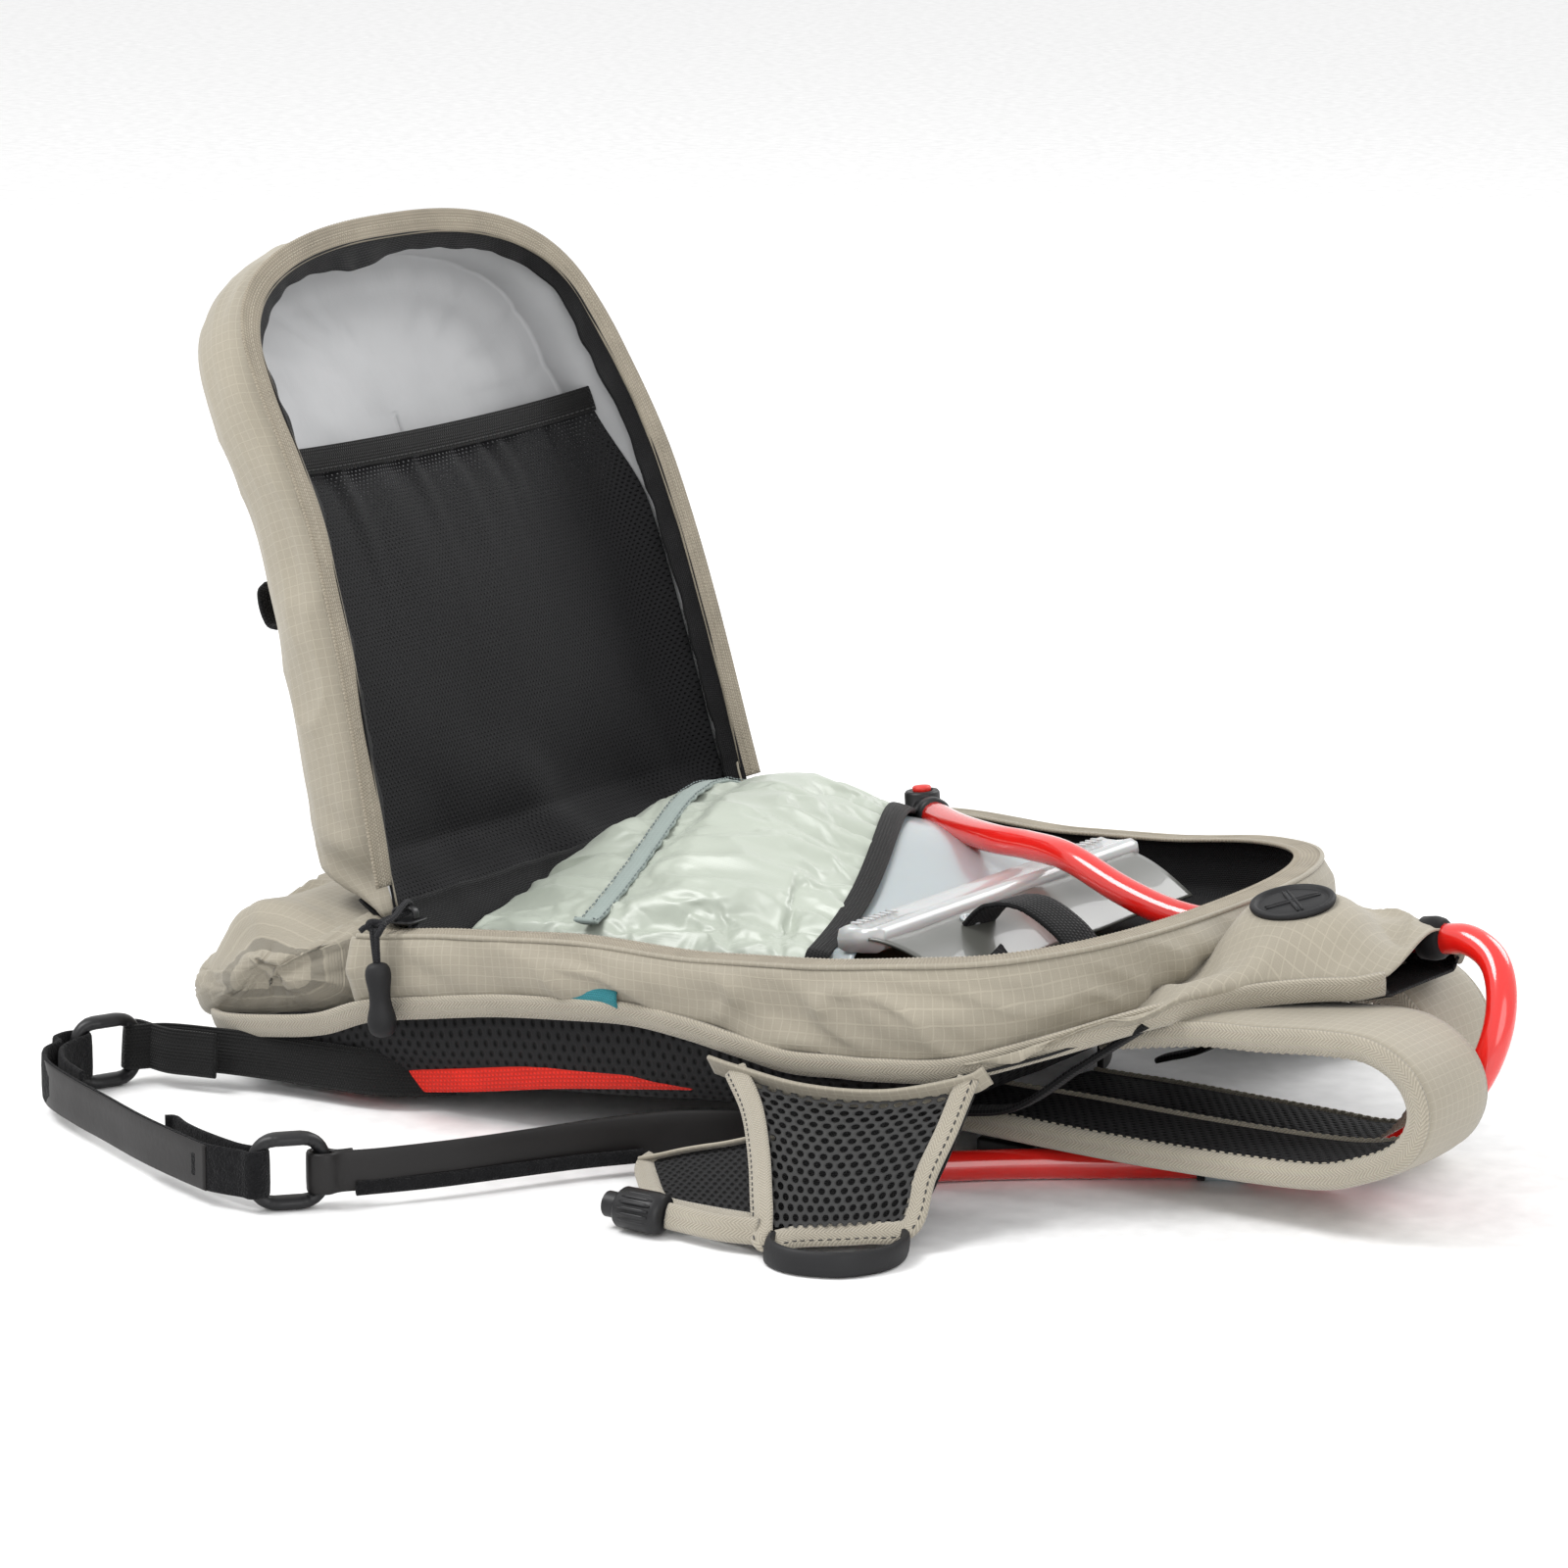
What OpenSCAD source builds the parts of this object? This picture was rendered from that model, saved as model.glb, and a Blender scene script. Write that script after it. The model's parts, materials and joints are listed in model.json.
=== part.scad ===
// Hydration pack lying on its harness with the front panel unzipped and stood up.
// +X runs from the pack's bottom to its neck, +Y to the far side, +Z up, floor at z = 0.
// Sizes are in millimetres.

/* [Opening] */
// width of the zipped opening at the hinge
opening_width = 216; // [160:1:300]
// length of the zipped opening from the hinge to its round end
opening_length = 245; // [200:1:330]
// width of the opening where its round end starts
end_width = 192; // [140:1:280]
// depth of the opening's round end
end_round = 55; // [35:1:80]

/* [Body] */
// height of the tan side wall under the zip
tub_depth = 24; // [20:1:45]
// thickness of the padded back panel
back_thickness = 26; // [15:1:40]
// length of the rounded base behind the hinge
base_length = 74; // [50:1:110]
// rise of the pack toward its neck, in degrees
pack_tilt = 5; // [2:0.5:8]

/* [Front panel] */
// lean of the open panel behind the vertical, in degrees
lid_lean = 19; // [5:1:30]
// depth of the front panel's dish
lid_depth = 30; // [22:1:50]
// height of the mesh pocket up the panel
pocket_height = 166; // [100:1:200]

/* [Water system] */
// outside diameter of the drink hose
hose_diameter = 9.6; // [7:0.1:13]
// width of the slide bar that seals the reservoir
seal_length = 154; // [100:1:180]

/* [Harness] */
// width of each shoulder strap
strap_width = 38; // [25:1:45]
// thickness of each shoulder strap
strap_thickness = 8; // [5:0.5:11]
// height of the side webbing, which stands on its edge
web_height = 15; // [8:0.5:15]

/* [Hidden] */
$fn = 32;
fit = 0.3;
center_x = 12.07;
hinge_x = -113 - center_x;
hinge_z = 59;
tape = 1.2;
coil = 1.6;
web = 2.2;
half0 = opening_width / 2;
half1 = end_width / 2;
straight = opening_length - end_round;
grow_x = opening_length - 245;
grow_y = half0 - 108;
side_angle = atan((half0 - half1) / straight);
floor_z = -tub_depth + 2;
lining_z = floor_z + 1.2;
back_z = -tub_depth - back_thickness;
neck_end = opening_length + 77;
hose_r = hose_diameter / 2;
bore_r = hose_r + 0.7;
neck_y = 8;
neck_z = -8;
bag_end = 150 + grow_x;
bag_half = half1 - 15;
bag_start = 29;
bag_z = lining_z + fit + 1.4;
bag_top = 3;
seal_x = bag_end + 13;

// half the width of the opening at distance s from the hinge
function half_at(s) = half0 + (half1 - half0) * s / straight;

// a power that keeps its sign, for the superellipse at the round end
function spow(v, e) = sign(v) * pow(abs(v), e);

// outline of the opening, grown by off and started at s0
function rim(off, s0) = concat(
    [[s0, -half_at(s0) - off]],
    [for (a = [-90:7.5:90])
        [straight + (end_round + off) * spow(cos(a), 0.8), (half1 + off) * spow(sin(a), 0.8)]],
    [[s0, half_at(s0) + off]]);

// unit direction from a to b
function heading(a, b) = (b - a) / norm(b - a);

// direction along a path at point i
function along(p, i) = i == 0 ? heading(p[0], p[1])
    : i == len(p) - 1 ? heading(p[i - 1], p[i])
    : heading(p[i - 1], p[i + 1]);

// closed outline of a strip of thickness t that follows a path
function band(p, t) = concat(
    [for (i = [0:len(p) - 1]) p[i] + t / 2 * [-along(p, i).y, along(p, i).x]],
    [for (i = [len(p) - 1:-1:0]) p[i] - t / 2 * [-along(p, i).y, along(p, i).x]]);

// world place of a point given in the pack's tilted frame
function tilted(x, y, z) = [
    hinge_x + x * cos(pack_tilt) - z * sin(pack_tilt),
    y,
    hinge_z + x * sin(pack_tilt) + z * cos(pack_tilt)];

module on_pack() {
    translate([hinge_x, 0, hinge_z])
        rotate([0, -pack_tilt, 0])
            children();
}

module on_lid() {
    translate([hinge_x, 0, hinge_z])
        rotate([0, -lid_lean, 0])
            children();
}

// a plate of the opening's shape in the pack's frame
module deck(z0, z1, off, s0) {
    translate([0, 0, z0])
        linear_extrude(z1 - z0)
            polygon(rim(off, s0));
}

// the same plate stood up in the front panel's frame
module leaf(n0, n1, off, s0) {
    translate([n1, 0, 0])
        rotate([0, -90, 0])
            linear_extrude(n1 - n0)
                polygon(rim(off, s0));
}

// a flat strip on its edge, from height z0 up by h
module ribbon(p, t, z0, h) {
    translate([0, 0, z0])
        linear_extrude(h)
            polygon(band(p, t));
}

// a cylinder whose axis is level, from point a toward heading h
module rod(a, h, length, r) {
    translate(a)
        rotate([0, 90, atan2(h.y, h.x)])
            cylinder(r = r, h = length);
}

// the harness and what else lies on the floor, moved with the pack to centre the whole
module on_floor() {
    translate([-center_x, 0, 0])
        children();
}

module far_side() {
    mirror([0, 1, 0])
        children();
}

// ---------------------------------------------------------------- body
module body_tub() {
    color([0.68, 0.64, 0.55])
    on_pack()
    difference() {
        deck(-tub_depth, -tape, 10, -6);
        deck(floor_z, 1, 7, -3);
        translate([opening_length - 5, neck_y, neck_z])
            rotate([0, 90, 0])
                cylinder(r = bore_r, h = 30);
    }
}

module tub_lining() {
    color([0.12, 0.12, 0.13])
    on_pack()
    deck(floor_z, lining_z, 6.7, -2.7);
}

module bottom_gusset() {
    color([0.68, 0.64, 0.55])
    on_pack() {
        translate([-base_length + 13, half0 + 9, -11])
            rotate([90, 0, 0])
                cylinder(r = 13, h = 2 * half0 + 18);
        translate([-base_length + 13, -half0 - 9, -24])
            cube([base_length - 13 - 6.3, 2 * half0 + 18, 26]);
    }
}

module hinge_seam() {
    color([0.08, 0.08, 0.08])
    on_pack() {
        translate([0, half0 - 12, 0])
            rotate([90, 0, 0])
                cylinder(r = 2.2, h = 2 * half0 - 24);
        translate([-6, -half0 + 12, -tape])
            cube([6, 2 * half0 - 24, tape]);
    }
}

module back_mesh() {
    color([0.07, 0.07, 0.07])
    on_pack()
    difference() {
        intersection() {
            deck(back_z, -tub_depth - fit, 4, 4 - base_length);
            translate([-base_length, -200, back_z])
                cube([base_length + straight + 12, 400, back_thickness]);
        }
        deck(back_z + 3, -tub_depth, 0.5, 8 - base_length);
    }
}

module back_foam() {
    color([0.35, 0.35, 0.36])
    on_pack()
    intersection() {
        deck(back_z + 3 + fit, -tub_depth - fit, 0.2, 8.3 - base_length);
        translate([-base_length, -200, back_z])
            cube([base_length + straight + 11, 400, back_thickness]);
    }
}

module lumbar_pad() {
    color([0.1, 0.1, 0.1])
    on_pack()
    translate([6 - base_length, -half0 + 14, back_z - 2.4])
        cube([44, 2 * half0 - 28, 2.4 - 0.05]);
}

module back_webbing() {
    color([0.75, 0.12, 0.08])
    on_pack()
    for (k = [-1, 1])
        translate([50, k * (half0 - 9), back_z - 1.1])
            cube([120, 14, 2], center = true);
}

module edge_binding() {
    color([0.72, 0.68, 0.6])
    on_pack()
    difference() {
        deck(-tub_depth, -tub_depth + 7, 11.8, -base_length - 3);
        deck(-tub_depth - 1, -tub_depth + 8, 10.3, -base_length - 1.6);
        translate([straight + 20, -200, -tub_depth - 1])
            cube([200, 400, 10]);
    }
}

module side_tag() {
    color([0.3, 0.55, 0.55])
    on_pack()
    translate([88, -half_at(88) - 10, -12])
        rotate([0, 0, side_angle])
            translate([-8, -1.2, -3])
                cube([16, 1, 6]);
}

// outline of the neck yoke, one side
neck_side = [
    [straight + 26, half1 + 9], [straight + 50, half1 - 4], [straight + 72, half1 - 30],
    [straight + 92, half1 - 54], [neck_end - 22, 33], [neck_end - 7, 31], [neck_end, 24]];

module neck_outline() {
    polygon(concat(
        [for (p = neck_side) [p.x, -p.y]],
        [for (i = [len(neck_side) - 1:-1:0]) neck_side[i]]));
}

port_place = [neck_end - 38, -14, 4.3];

module port_seat(r, h, lift) {
    translate(port_place)
        rotate([13, 0, 0])
            translate([0, 0, lift])
                scale([1, 0.86, 1])
                    cylinder(r = r, h = h);
}

module neck_yoke() {
    color([0.68, 0.64, 0.55])
    on_pack()
    difference() {
        union() {
            translate([0, 0, -tub_depth + 2])
                linear_extrude(tub_depth - 4)
                    neck_outline();
            hull() {
                translate([opening_length + 8, -58, -3])
                    cube([1, 116, 1]);
                translate([neck_end - 6, -22, -3])
                    cube([1, 44, 1]);
                translate([opening_length + 20, 8, 11])
                    cube([1, 1, 1]);
                translate([neck_end - 22, 4, 5]) cube([1, 1, 1]);
            }
        }
        deck(-tub_depth, 30, 10.3, -3);
        translate([opening_length - 5, neck_y, neck_z])
            rotate([0, 90, 0])
                cylinder(r = bore_r, h = 120);
        port_seat(13.8, 12, -3.2);
    }
}

module hose_port() {
    color([0.06, 0.06, 0.06])
    on_pack()
    difference() {
        port_seat(13.5, 4.4, -3.1);
        translate(port_place)
            rotate([13, 0, 45])
                translate([-9, -0.5, 0.4])
                    cube([18, 1, 4]);
        translate(port_place)
            rotate([13, 0, -45])
                translate([-9, -0.5, 0.4])
                    cube([18, 1, 4]);
    }
}

module neck_binding() {
    color([0.72, 0.68, 0.6])
    on_pack()
    translate([0, 0, -tub_depth + 2.5])
        linear_extrude(6)
            difference() {
                offset(delta = 1.7)
                    neck_outline();
                offset(delta = 0.3)
                    neck_outline();
                translate([0, -200])
                    square([straight + 46, 400]);
            }
}

// ---------------------------------------------------------------- zips
module zip_body() {
    color([0.7, 0.66, 0.57])
    on_pack() {
        difference() {
            deck(-tape, 0, 10, 2);
            deck(-2, 1, 1, -9);
        }
        difference() {
            deck(-0.1, coil, 3.4, 2);
            deck(-1, 3, 1, -9);
        }
    }
}

module zip_lid() {
    color([0.7, 0.66, 0.57])
    on_lid() {
        difference() {
            leaf(0.05, tape, -1, 22.3);
            leaf(-1, 3, -9, 10);
        }
        difference() {
            leaf(-coil, 0.1, -1, 22.3);
            leaf(-3, 1, -3.4, 10);
        }
    }
}

module on_zip() {
    on_pack()
    translate([10, -half_at(10), 0])
        rotate([0, 0, side_angle])
            children();
}

module zip_slider() {
    color([0.1, 0.1, 0.1])
    on_zip()
    difference() {
        union() {
            translate([-6, -5.4, -4.4])
                cube([12, 10.8, 1.4]);
            translate([-6, -5.4, 3])
                cube([12, 10.8, 1.4]);
            translate([1, -0.7, -3.2])
                cube([5, 1.4, 6.4]);
            translate([-3.5, -1.6, 4.3])
                cube([7, 3.2, 3.6]);
        }
        translate([-5, 0, 6.1])
            rotate([0, 90, 0])
                cylinder(r = 1.2, h = 10);
    }
}

module pull_cord() {
    color([0.05, 0.05, 0.05])
    on_zip()
    translate([0, 0, 6.1]) {
        rotate([0, 90, 0])
            cylinder(r = 0.9, h = 12, center = true);
        for (k = [-1, 1])
            translate([k * 5.1, 0.9, 0])
                rotate([90, 0, 0])
                    cylinder(r = 0.9, h = 18);
        translate([0, -17.4, -0.8])
            cube([12, 2.6, 4], center = true);
        translate([0, -17.4, -7])
            cylinder(r = 2, h = 6);
    }
}

module pull_toggle() {
    color([0.04, 0.04, 0.04])
    on_zip()
    translate([0, -17.4, -0.9])
    {
        translate([0, 0, -12])
            cylinder(r = 3.6, h = 6);
        translate([0, 0, -22])
            cylinder(r = 2.8, h = 10.2);
        translate([0, 0, -28])
            cylinder(r = 4.1, h = 6.2);
    }
}

// ---------------------------------------------------------------- front panel
module lid_shell() {
    color([0.68, 0.64, 0.55])
    on_lid() {
        difference() {
            leaf(-lid_depth, 0, -7, 20);
            leaf(2 - lid_depth, 1, -9, 22);
        }
        translate([-1.4, -half0 + 12, 3.4])
            cube([1.4, 2 * half0 - 24, 17.6]);
    }
}

module lid_lining() {
    color([0.72, 0.72, 0.72])
    on_lid()
    leaf(2 - lid_depth, 3.2 - lid_depth, -9.3, 22.3);
}

module lid_binding() {
    color([0.04, 0.04, 0.04])
    on_lid()
    difference() {
        leaf(-10, -0.3, -9.2, 22.2);
        leaf(-12, 1, -12, 25);
    }
}

module mesh_pocket() {
    color([0.06, 0.06, 0.06])
    on_lid()
    difference() {
        leaf(3.4 - lid_depth, -19.4, -12.3, 26);
        leaf(2 - lid_depth, -20.6, -13.6, 27.4);
        translate([-lid_depth - 1, -200, pocket_height])
            cube([lid_depth + 2, 400, 200]);
    }
}

module pocket_elastic() {
    color([0.05, 0.05, 0.05])
    on_lid()
    translate([-19.2, -half_at(pocket_height) + 15, pocket_height - 9])
        cube([1.4, 2 * half_at(pocket_height) - 30, 9]);
}

module light_tab() {
    color([0.05, 0.05, 0.05])
    on_lid()
    translate([-lid_depth - 5, -half_at(120) + 16, 112])
        cube([4.8, 14, 16]);
}

// ---------------------------------------------------------------- reservoir
module reservoir() {
    color([0.8, 0.82, 0.84])
    on_pack() {
        translate([bag_start, -bag_half, bag_z])
            cube([bag_end - bag_start, 2 * bag_half, bag_top - bag_z]);
        translate([bag_end - 1, -seal_length / 2 + 3, -2.1])
            cube([20, seal_length - 6, 3]);
    }
}

// the sleeve's mouth crosses the reservoir aslant, from the near side to the far one
module reservoir_sleeve() {
    color([0.78, 0.8, 0.74])
    on_pack()
    difference() {
        translate([0, 0, bag_z - 1.3])
            linear_extrude(bag_top - bag_z + 3.4)
                polygon([[bag_start - 2.5, -bag_half - 4], [bag_end - 9, -bag_half - 4],
                    [bag_end - 89, bag_half + 4], [bag_start - 2.5, bag_half + 4]]);
        translate([bag_start - 0.5, -bag_half - 1, bag_z - 0.2])
            cube([400, 2 * bag_half + 2, bag_top - bag_z + 1]);
    }
}

module sleeve_elastic() {
    color([0.04, 0.04, 0.04])
    on_pack()
    difference() {
        translate([0, 0, bag_z - 1.3])
            linear_extrude(bag_top - bag_z + 3.4)
                polygon([[bag_end - 8.6, -bag_half - 4], [bag_end - 0.6, -bag_half - 4],
                    [bag_end - 80.6, bag_half + 4], [bag_end - 88.6, bag_half + 4]]);
        translate([bag_start - 0.5, -bag_half - 1, bag_z - 0.2])
            cube([400, 2 * bag_half + 2, bag_top - bag_z + 1]);
    }
}

module sleeve_channel() {
    color([0.74, 0.77, 0.7])
    on_pack()
    translate([0, 0, bag_top + 2.15])
        linear_extrude(2)
            polygon([[bag_end - 92, -bag_half], [bag_end - 84, -bag_half],
                [bag_end - 108, bag_half], [bag_end - 116, bag_half]]);
}

module seal_slide() {
    color([0.85, 0.85, 0.86])
    on_pack()
    difference() {
        translate([seal_x - 8, -seal_length / 2, -5])
            cube([18, seal_length, 9]);
        translate([seal_x - 9, -seal_length / 2 - 1, -2.6])
            cube([17, seal_length + 2, 4]);
        translate([seal_x + 4, -34, -6])
            cylinder(r = 3, h = 12);
    }
}

module hanger_strap() {
    color([0.05, 0.05, 0.05])
    on_pack() {
        translate([straight + 12, -52, floor_z + 1.5])
            cube([20, 44, 2.4]);
        translate([straight + 14, -50, floor_z + 4.2])
            cube([16, 36, 3]);
    }
}

port_x = bag_end - 63;
port_y = bag_half - 5;
port_z = bag_top + hose_r + 1.4;
hose_way = [0.777, -0.63];

module reservoir_port() {
    color([0.08, 0.08, 0.09])
    on_pack()
    difference() {
        union() {
            translate([port_x, port_y, bag_top + fit])
                cylinder(r = 8, h = 3);
            translate([port_x, port_y, bag_top + 2])
                cylinder(r = 6, h = 11);
            translate([port_x, port_y, port_z])
                rotate([0, 90, atan2(hose_way.y, hose_way.x)])
                    cylinder(r = hose_r + 0.6, h = 14);
        }
        translate([port_x, port_y, bag_top + 11])
            cylinder(r = 3.6, h = 4);
    }
}

module port_button() {
    color([0.75, 0.12, 0.08])
    on_pack()
    translate([port_x, port_y, bag_top + 12.7])
        cylinder(r = 3.2, h = 1.9);
}

// ---------------------------------------------------------------- hose
hose_start = [port_x + 14.2 * hose_way.x, port_y + 14.2 * hose_way.y, port_z];

// centre line of the hose, chosen by hand from the port to the bite valve
hose_path = concat(
    [for (p = [
        hose_start,
        [port_x + 33, port_y - 27, 9.4],
        [port_x + 57, port_y - 43, 10],
        [seal_x - 1, 26, 10],
        [seal_x + 20, 17, 8.8],
        [seal_x + 43, 11, 0.5],
        [seal_x + 63, neck_y + 0.5, -5.6],
        [opening_length, neck_y, neck_z],
        [opening_length + 26, neck_y, neck_z],
        [opening_length + 52, neck_y, neck_z],
        [neck_end, neck_y, neck_z]]) tilted(p.x, p.y, p.z)],
    [for (p = [
        [219, 6.5, 80.4],
        [229, 3, 77.2],
        [235.5, -2.5, 70],
        [238, -8, 59.5],
        [236, -12, 48],
        [230, -14, 37],
        [220.5, -14.5, 27],
        [208, -14, 18],
        [195, -13, 10.5],
        [178, -13, 6.6],
        [160, -18, 5.2],
        [142, -28, 5.1],
        [124, -41, 5.1],
        [106, -54, 5.1],
        [89, -68, 5.1],
        [74, -84, 5.5],
        [62, -101, 6.5]]) [p.x + grow_x - center_x, p.y, p.z]]);

// a ring of points around the hose's centre line at point i
function hose_ring(i, n, r) =
    let (d = i == 0 ? heading(hose_path[0], hose_path[1])
            : i == len(hose_path) - 1 ? heading(hose_path[i - 1], hose_path[i])
            : heading(hose_path[i - 1], hose_path[i + 1]),
        u = heading([0, 0, 0], cross(d, [0.1, 1, 0.2])),
        v = cross(d, u))
    [for (k = [0:n - 1]) hose_path[i] + r * (cos(360 * k / n) * u + sin(360 * k / n) * v)];

module hose() {
    color([0.8, 0.1, 0.1]) {
        n = 10;
        m = len(hose_path);
        polyhedron(
            points = [for (i = [0:m - 1]) each hose_ring(i, n, hose_r)],
            faces = concat(
                [[for (k = [0:n - 1]) k]],
                [for (i = [0:m - 2], k = [0:n - 1])
                    [i * n + k, (i + 1) * n + k, (i + 1) * n + (k + 1) % n, i * n + (k + 1) % n]],
                [[for (k = [n - 1:-1:0]) (m - 1) * n + k]]));
    }
}

valve_way = [-0.577, -0.817];
valve_place = [62 + grow_x, -101, 6.6];

module valve_body() {
    color([0.07, 0.07, 0.08])
    on_floor() {
        rod(valve_place + [0.2 * valve_way.x, 0.2 * valve_way.y, 0], valve_way, 15, 6.3);
        translate([valve_place.x + 8 * valve_way.x, valve_place.y + 8 * valve_way.y, 9])
            cylinder(r = 4.5, h = 5);
    }
}

module valve_lever() {
    color([0.75, 0.12, 0.08])
    on_floor()
    translate([valve_place.x + 8 * valve_way.x, valve_place.y + 8 * valve_way.y, 14.2])
        rotate([0, 0, atan2(valve_way.y, valve_way.x)]) {
            cylinder(r = 4, h = 1.6);
            translate([-8, -1.5, 0])
                cube([8, 3, 1.6]);
        }
}

module bite_valve() {
    color([0.8, 0.15, 0.12])
    on_floor()
    rod(valve_place + [15.4 * valve_way.x, 15.4 * valve_way.y, 0], valve_way, 12, 5);
}

keeper_a = [160 + grow_x, -18, 5.2];
keeper_b = [142 + grow_x, -28, 5.1];

module hose_keeper() {
    color([0.7, 0.75, 0.78])
    on_floor()
    translate(keeper_a + 0.12 * (keeper_b - keeper_a))
        rotate([0, 90, atan2(keeper_b.y - keeper_a.y, keeper_b.x - keeper_a.x)])
            difference() {
                cylinder(r = hose_r + 0.38, h = 15.5);
                translate([0, 0, -1])
                    cylinder(r = hose_r + 0.06, h = 18);
            }
}

// ---------------------------------------------------------------- shoulder straps
// the upper run hangs under the yoke; the lower run lies on the hose or on the floor
neck_rise = grow_x * sin(pack_tilt);
under_yoke = 62.2 + neck_rise - strap_thickness / 2;
over_hose = hose_diameter + 2.4 + strap_thickness / 2;
flat_down = strap_thickness / 2;
near_path = [for (p = [
    [182, under_yoke], [206, under_yoke + 2.2], [222, under_yoke + 2], [234, 54], [239, 43],
    [234, 31], [220, 23], [200, over_hose + 2], [150, over_hose], [100, over_hose],
    [62, over_hose]]) [p.x + grow_x, p.y]];
far_path = [for (p = [
    [178, under_yoke], [190, under_yoke + 0.6], [199, 53], [204, 44], [205, 32],
    [200, 19], [189, 8], [173, flat_down], [150, flat_down],
    [64, flat_down]]) [p.x + grow_x, p.y]];

module profile_strip(p, t, y0, w) {
    translate([0, y0 + w, 0])
        rotate([90, 0, 0])
            linear_extrude(w)
                polygon(band(p, t));
}

module shoulder_near() {
    color([0.68, 0.64, 0.55])
    on_floor()
    profile_strip(near_path, strap_thickness, -22 - strap_width, strap_width);
}

module shoulder_far() {
    color([0.68, 0.64, 0.55])
    on_floor()
    profile_strip(far_path, strap_thickness, 7, strap_width);
}

module lifter_near() {
    color([0.05, 0.05, 0.05])
    on_floor()
    profile_strip(
        [[150 + grow_x, 59 + neck_rise], [126 + grow_x, 42], [104 + grow_x, 26], [84 + grow_x, 21]],
        web, -32 - strap_width, 9.6);
}

module lifter_far() {
    color([0.05, 0.05, 0.05])
    on_floor()
    profile_strip(
        [[150 + grow_x, 59 + neck_rise], [126 + grow_x, 40], [104 + grow_x, 20], [84 + grow_x, 12]],
        web, 8 + strap_width, 9.6);
}

module buckle_female() {
    color([0.05, 0.05, 0.05])
    on_floor()
    translate([78 + grow_x, -48, 0])
        difference() {
            cube([20, 18, 8]);
            translate([3, 6, 2])
                cube([14, 14, 4]);
            translate([2, 1.6, -1])
                cube([16, 2.2, 10]);
        }
}

module buckle_male() {
    color([0.05, 0.05, 0.05])
    on_floor()
    translate([78 + grow_x, -29.4, 0]) {
        difference() {
            translate([0.5, 0, 0.5])
                cube([19, 10, 7]);
            translate([2.5, 5.6, -1])
                cube([15, 2.2, 10]);
        }
        translate([4, -9, 2.5])
            cube([4, 10, 3]);
        translate([12, -9, 2.5])
            cube([4, 10, 3]);
    }
}

// ---------------------------------------------------------------- side straps
// the ends of the webbing are loops round the bars of the rings
ring1_a = [-199, -131 - grow_y];
ring1_b = [-207, -151 - grow_y];
ring2_a = [-72, -221 - grow_y];
ring2_b = [-58, -205 - grow_y];
web_z = 4.7;
ring_z = 2.2;

module web_loop(p) {
    translate([p.x, p.y, web_z])
        cylinder(r = 4.6, h = web_height);
}

module web_bore(p) {
    translate([p.x, p.y, web_z - 1])
        cylinder(r = 2.6, h = web_height + 2);
}

module ring(a, b) {
    reach = norm(b - a);
    for (p = [a, b])
        translate([p.x, p.y, ring_z])
            cylinder(r = 2.2, h = web_height + 5);
    for (z = [0, web_height + 5])
        translate([a.x, a.y, z])
            rotate([0, 0, atan2(b.y - a.y, b.x - a.x)])
                translate([-2.2, -2.2, 0])
                    cube([reach + 4.4, 4.4, 2 * ring_z]);
}

module elastic_one() {
    color([0.05, 0.05, 0.05])
    on_floor()
    difference() {
        union() {
            ribbon([[-148, -half_at(-35) - 6.4], [-172, -half_at(-59) - 9.3], ring1_a + [3.5, 1.4]],
                web, web_z, web_height);
            web_loop(ring1_a);
        }
        web_bore(ring1_a);
    }
}

module hook_strap_one() {
    color([0.07, 0.07, 0.07])
    on_floor()
    difference() {
        union() {
            ribbon([ring1_b + [1, -4], [-203, -164 - grow_y], [-188, -180 - grow_y],
                [-154, -199 - grow_y], [-118, -215 - grow_y], [-94, -224 - grow_y],
                ring2_a + [-4, -1.5]], web, web_z, web_height);
            ribbon([[-196, -176 - grow_y], [-166, -189 - grow_y], [-120, -210 - grow_y],
                [-104, -216.5 - grow_y]], web, web_z + 1, web_height - 2);
            web_loop(ring1_b);
            web_loop(ring2_a);
        }
        web_bore(ring1_b);
        web_bore(ring2_a);
    }
}

module chest_arm_one() {
    color([0.08, 0.08, 0.08])
    on_floor()
    difference() {
        union() {
            ribbon([ring2_b + [3, 3], [-42, -188 - grow_y], [-26, -162 - grow_y],
                [-12, -136 - grow_y], [4, -114 - grow_y], [24, -100], [42, -84], [54, -66],
                [60, -50]], web, web_z, web_height - 2);
            web_loop(ring2_b);
        }
        web_bore(ring2_b);
    }
}

module elastic_near() {
    elastic_one();
}

module elastic_far() {
    far_side() elastic_one();
}

module ring1_near() {
    color([0.05, 0.05, 0.05])
    on_floor()
    ring(ring1_a, ring1_b);
}

module ring1_far() {
    far_side() ring1_near();
}

module ring2_near() {
    color([0.05, 0.05, 0.05])
    on_floor()
    ring(ring2_a, ring2_b);
}

module ring2_far() {
    far_side() ring2_near();
}

module hook_strap_near() {
    hook_strap_one();
}

module hook_strap_far() {
    far_side() hook_strap_one();
}

module chest_arm_near() {
    chest_arm_one();
}

module chest_arm_far() {
    far_side() chest_arm_one();
}

// ---------------------------------------------------------------- side wings
// corners of a wing pocket's front sheet, from the body's edge down to the floor
wing_a = [33, -114 - grow_y, 36];
wing_b = [112, -107 - grow_y, 44];
wing_c = [112, -140 - grow_y, 9];
wing_d = [80, -168 - grow_y, 8.5];
wing_in = [0, 4.4, -5.5];

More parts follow.
